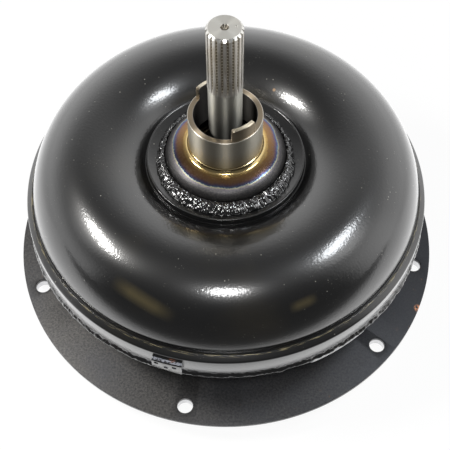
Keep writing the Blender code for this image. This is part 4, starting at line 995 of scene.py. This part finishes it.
STRIP_START = -67.5
STRIP_SPAN = 19.5
STRIP_STEPS = 40
STRIP_SEAT = 139.0
STRIP_BOTTOM = 61.2
STRIP_TOP = 67.0
STRIP_THICKNESS = 3.0

strip = bmesh.new()
strip_rings = []
for k in range(STRIP_STEPS + 1):
    share = k / STRIP_STEPS
    full = min(1.0, min(share, 1.0 - share) * 14.0 + 0.35)
    out = STRIP_SEAT - 0.05 + STRIP_THICKNESS * full
    strip_rings.append(upright_ring(strip, STRIP_START + STRIP_SPAN * share,
                                    [(STRIP_SEAT, STRIP_BOTTOM), (out - 0.5, STRIP_BOTTOM),
                                     (out, STRIP_BOTTOM + 0.6), (out, STRIP_TOP - 0.6),
                                     (out - 0.6, STRIP_TOP), (STRIP_SEAT, STRIP_TOP)]))
skin(strip, strip_rings)
finish_piece("balance_strip_bar", strip, zinc, node="balance_strip", slot="zinc_steel")


# Floor

FLOOR_REACH = 30.0
# Light level of the floor in reflections: near the object, and in front of where it ends
FLOOR_NEAR = (1.65, 1.6)
FLOOR_FRONT = 0.16


def floor_material():
    """Pale sheet that shows white to the camera, keeps a trace of the shadow and ends in front."""
    g = new_graph("scene_floor")
    diffuse = g.node("ShaderNodeBsdfDiffuse", {"Color": (0.80, 0.80, 0.80)})
    seen = g.node("ShaderNodeEmission", {"Color": (1.0, 1.0, 1.0), "Strength": 1.03})
    along = g.parts()[1]
    near = g.remap(g.radius(), 0.17, 0.45, *FLOOR_NEAR)
    # Painted shadow: behind the object the floor is dimmer in reflections, where the object's shadow falls
    back = g.remap(along, 0.10, 0.25, 1.0, 0.80)
    level = g.blend(g.remap(along, -0.285, -0.172), FLOOR_FRONT, g.times(near, back))
    mirrored = g.node("ShaderNodeEmission", {"Color": (1.0, 1.0, 1.0), "Strength": level})
    path = g.node("ShaderNodeLightPath").outputs
    clear = g.remap(g.radius(), 0.22, 0.60, 0.90, 1.0)
    direct = g.node("ShaderNodeMixShader", {0: g.times(path["Is Camera Ray"], clear), 1: diffuse.outputs[0],
                                            2: seen.outputs[0]})
    whole = g.node("ShaderNodeMixShader", {0: path["Is Glossy Ray"], 1: direct.outputs[0],
                                           2: mirrored.outputs[0]})
    g.feed(g.tree.nodes["Material Output"], "Surface", whole.outputs[0])
    return g.owner


floor_mesh = bpy.data.meshes.new("floor")
floor_mesh.from_pydata([(-FLOOR_REACH, -FLOOR_REACH, 0.0), (FLOOR_REACH, -FLOOR_REACH, 0.0),
                        (FLOOR_REACH, FLOOR_REACH, 0.0), (-FLOOR_REACH, FLOOR_REACH, 0.0)],
                       [], [(0, 1, 2, 3)])
floor_mesh.materials.append(floor_material())
floor = add_object("floor", floor_mesh)


# Surroundings

# Pale cards stand behind and beside the object, highest at the back. The room is dark in front and above.
# The camera itself sees plain white.
CARD_LEVEL = 1.40
ROOM_LEVEL = 0.15
ROOF_LEVEL = 0.12
FILL_CARDS = 0.16
FILL_ROOM = 0.08
# Soft glow round each side lamp: its direction and level, and the cosines where it ends and is full
HALOS = (((0.640, -0.055, 0.766), 2.2), ((-0.788, 0.030, 0.616), 0.9))
HALO_OUTER = 0.968
HALO_INNER = 0.999
# Upright pale strip on the right
STRIP_LEVEL = 0.35

world = bpy.data.worlds.new("studio")
bpy.context.scene.world = world
g = Graph(world)
g.tree.nodes.clear()
direction = g.node("ShaderNodeTexCoord").outputs["Generated"]
across, along, up = g.parts(direction)
squared = g.times(across, across)
arch = g.plus(g.times(squared, 0.55), g.times(squared, squared, -0.35))
lean = g.plus(g.times(across, -0.14), g.times(along, -0.03))
below_top = g.smooth(g.plus(up, g.plus(arch, lean)), 0.46, 0.98, 1.0, 0.0)
cards = g.times(g.smooth(along, -0.47, -0.24), below_top)
roof = g.smooth(up, 0.70, 0.95, 0.0, ROOF_LEVEL)
glossy_level = g.plus(g.times(cards, CARD_LEVEL), g.plus(roof, ROOM_LEVEL))
for toward, level in HALOS:
    facing = g.vector_math("DOT_PRODUCT", direction, toward)["Value"]
    glossy_level = g.plus(glossy_level, g.smooth(facing, HALO_OUTER, HALO_INNER, 0.0, level))
aside = g.calc("ABSOLUTE", g.plus(along, 0.02))
pale_strip = g.times(g.smooth(aside, 0.05, 0.26, STRIP_LEVEL, 0.0), g.smooth(across, 0.22, 0.45))
glossy_level = g.plus(glossy_level, pale_strip)
fill = g.plus(g.times(cards, FILL_CARDS), FILL_ROOM)
path = g.node("ShaderNodeLightPath").outputs
unseen = g.blend(path["Is Glossy Ray"], fill, glossy_level)
background = g.node("ShaderNodeBackground", {"Color": (1.0, 1.0, 1.0),
                                             "Strength": g.blend(path["Is Camera Ray"], unseen, 1.0)})
g.node("ShaderNodeOutputWorld", {"Surface": background.outputs[0]})


# Lamps and camera

for name, (place, level, size, colour) in LAMPS.items():
    data = bpy.data.lights.new(name, "AREA")
    data.shape = "ELLIPSE"
    data.size, data.size_y = size
    data.color = colour
    distance = (Vector(place) - LAMP_TARGET).length
    data.energy = math.pi ** 2 * level * distance ** 2
    lamp = add_object(name, data)
    lamp.location = place
    lamp.rotation_mode = "QUATERNION"
    lamp.rotation_quaternion = (LAMP_TARGET - Vector(place)).to_track_quat("-Z", "Y")

pitch, yaw, roll = (math.radians(a) for a in (CAMERA_PITCH, CAMERA_YAW, CAMERA_ROLL))
forward = Vector((math.sin(yaw) * math.cos(pitch), math.cos(yaw) * math.cos(pitch), -math.sin(pitch)))
level_right = Vector((math.cos(yaw), -math.sin(yaw), 0.0))
level_down = forward.cross(level_right)
right = level_right * math.cos(roll) + level_down * math.sin(roll)
down = level_down * math.cos(roll) - level_right * math.sin(roll)
camera_data = bpy.data.cameras.new("camera")
camera_data.sensor_width = CAMERA_SENSOR
camera_data.lens = CAMERA_LENS
camera_data.clip_start = 0.01
camera = add_object("camera", camera_data)
turn = Matrix((right, -down, -forward)).transposed().to_4x4()
camera.matrix_world = Matrix.Translation(CAMERA_PLACE) @ turn
bpy.context.scene.camera = camera
bpy.context.scene.view_settings.view_transform = "Standard"
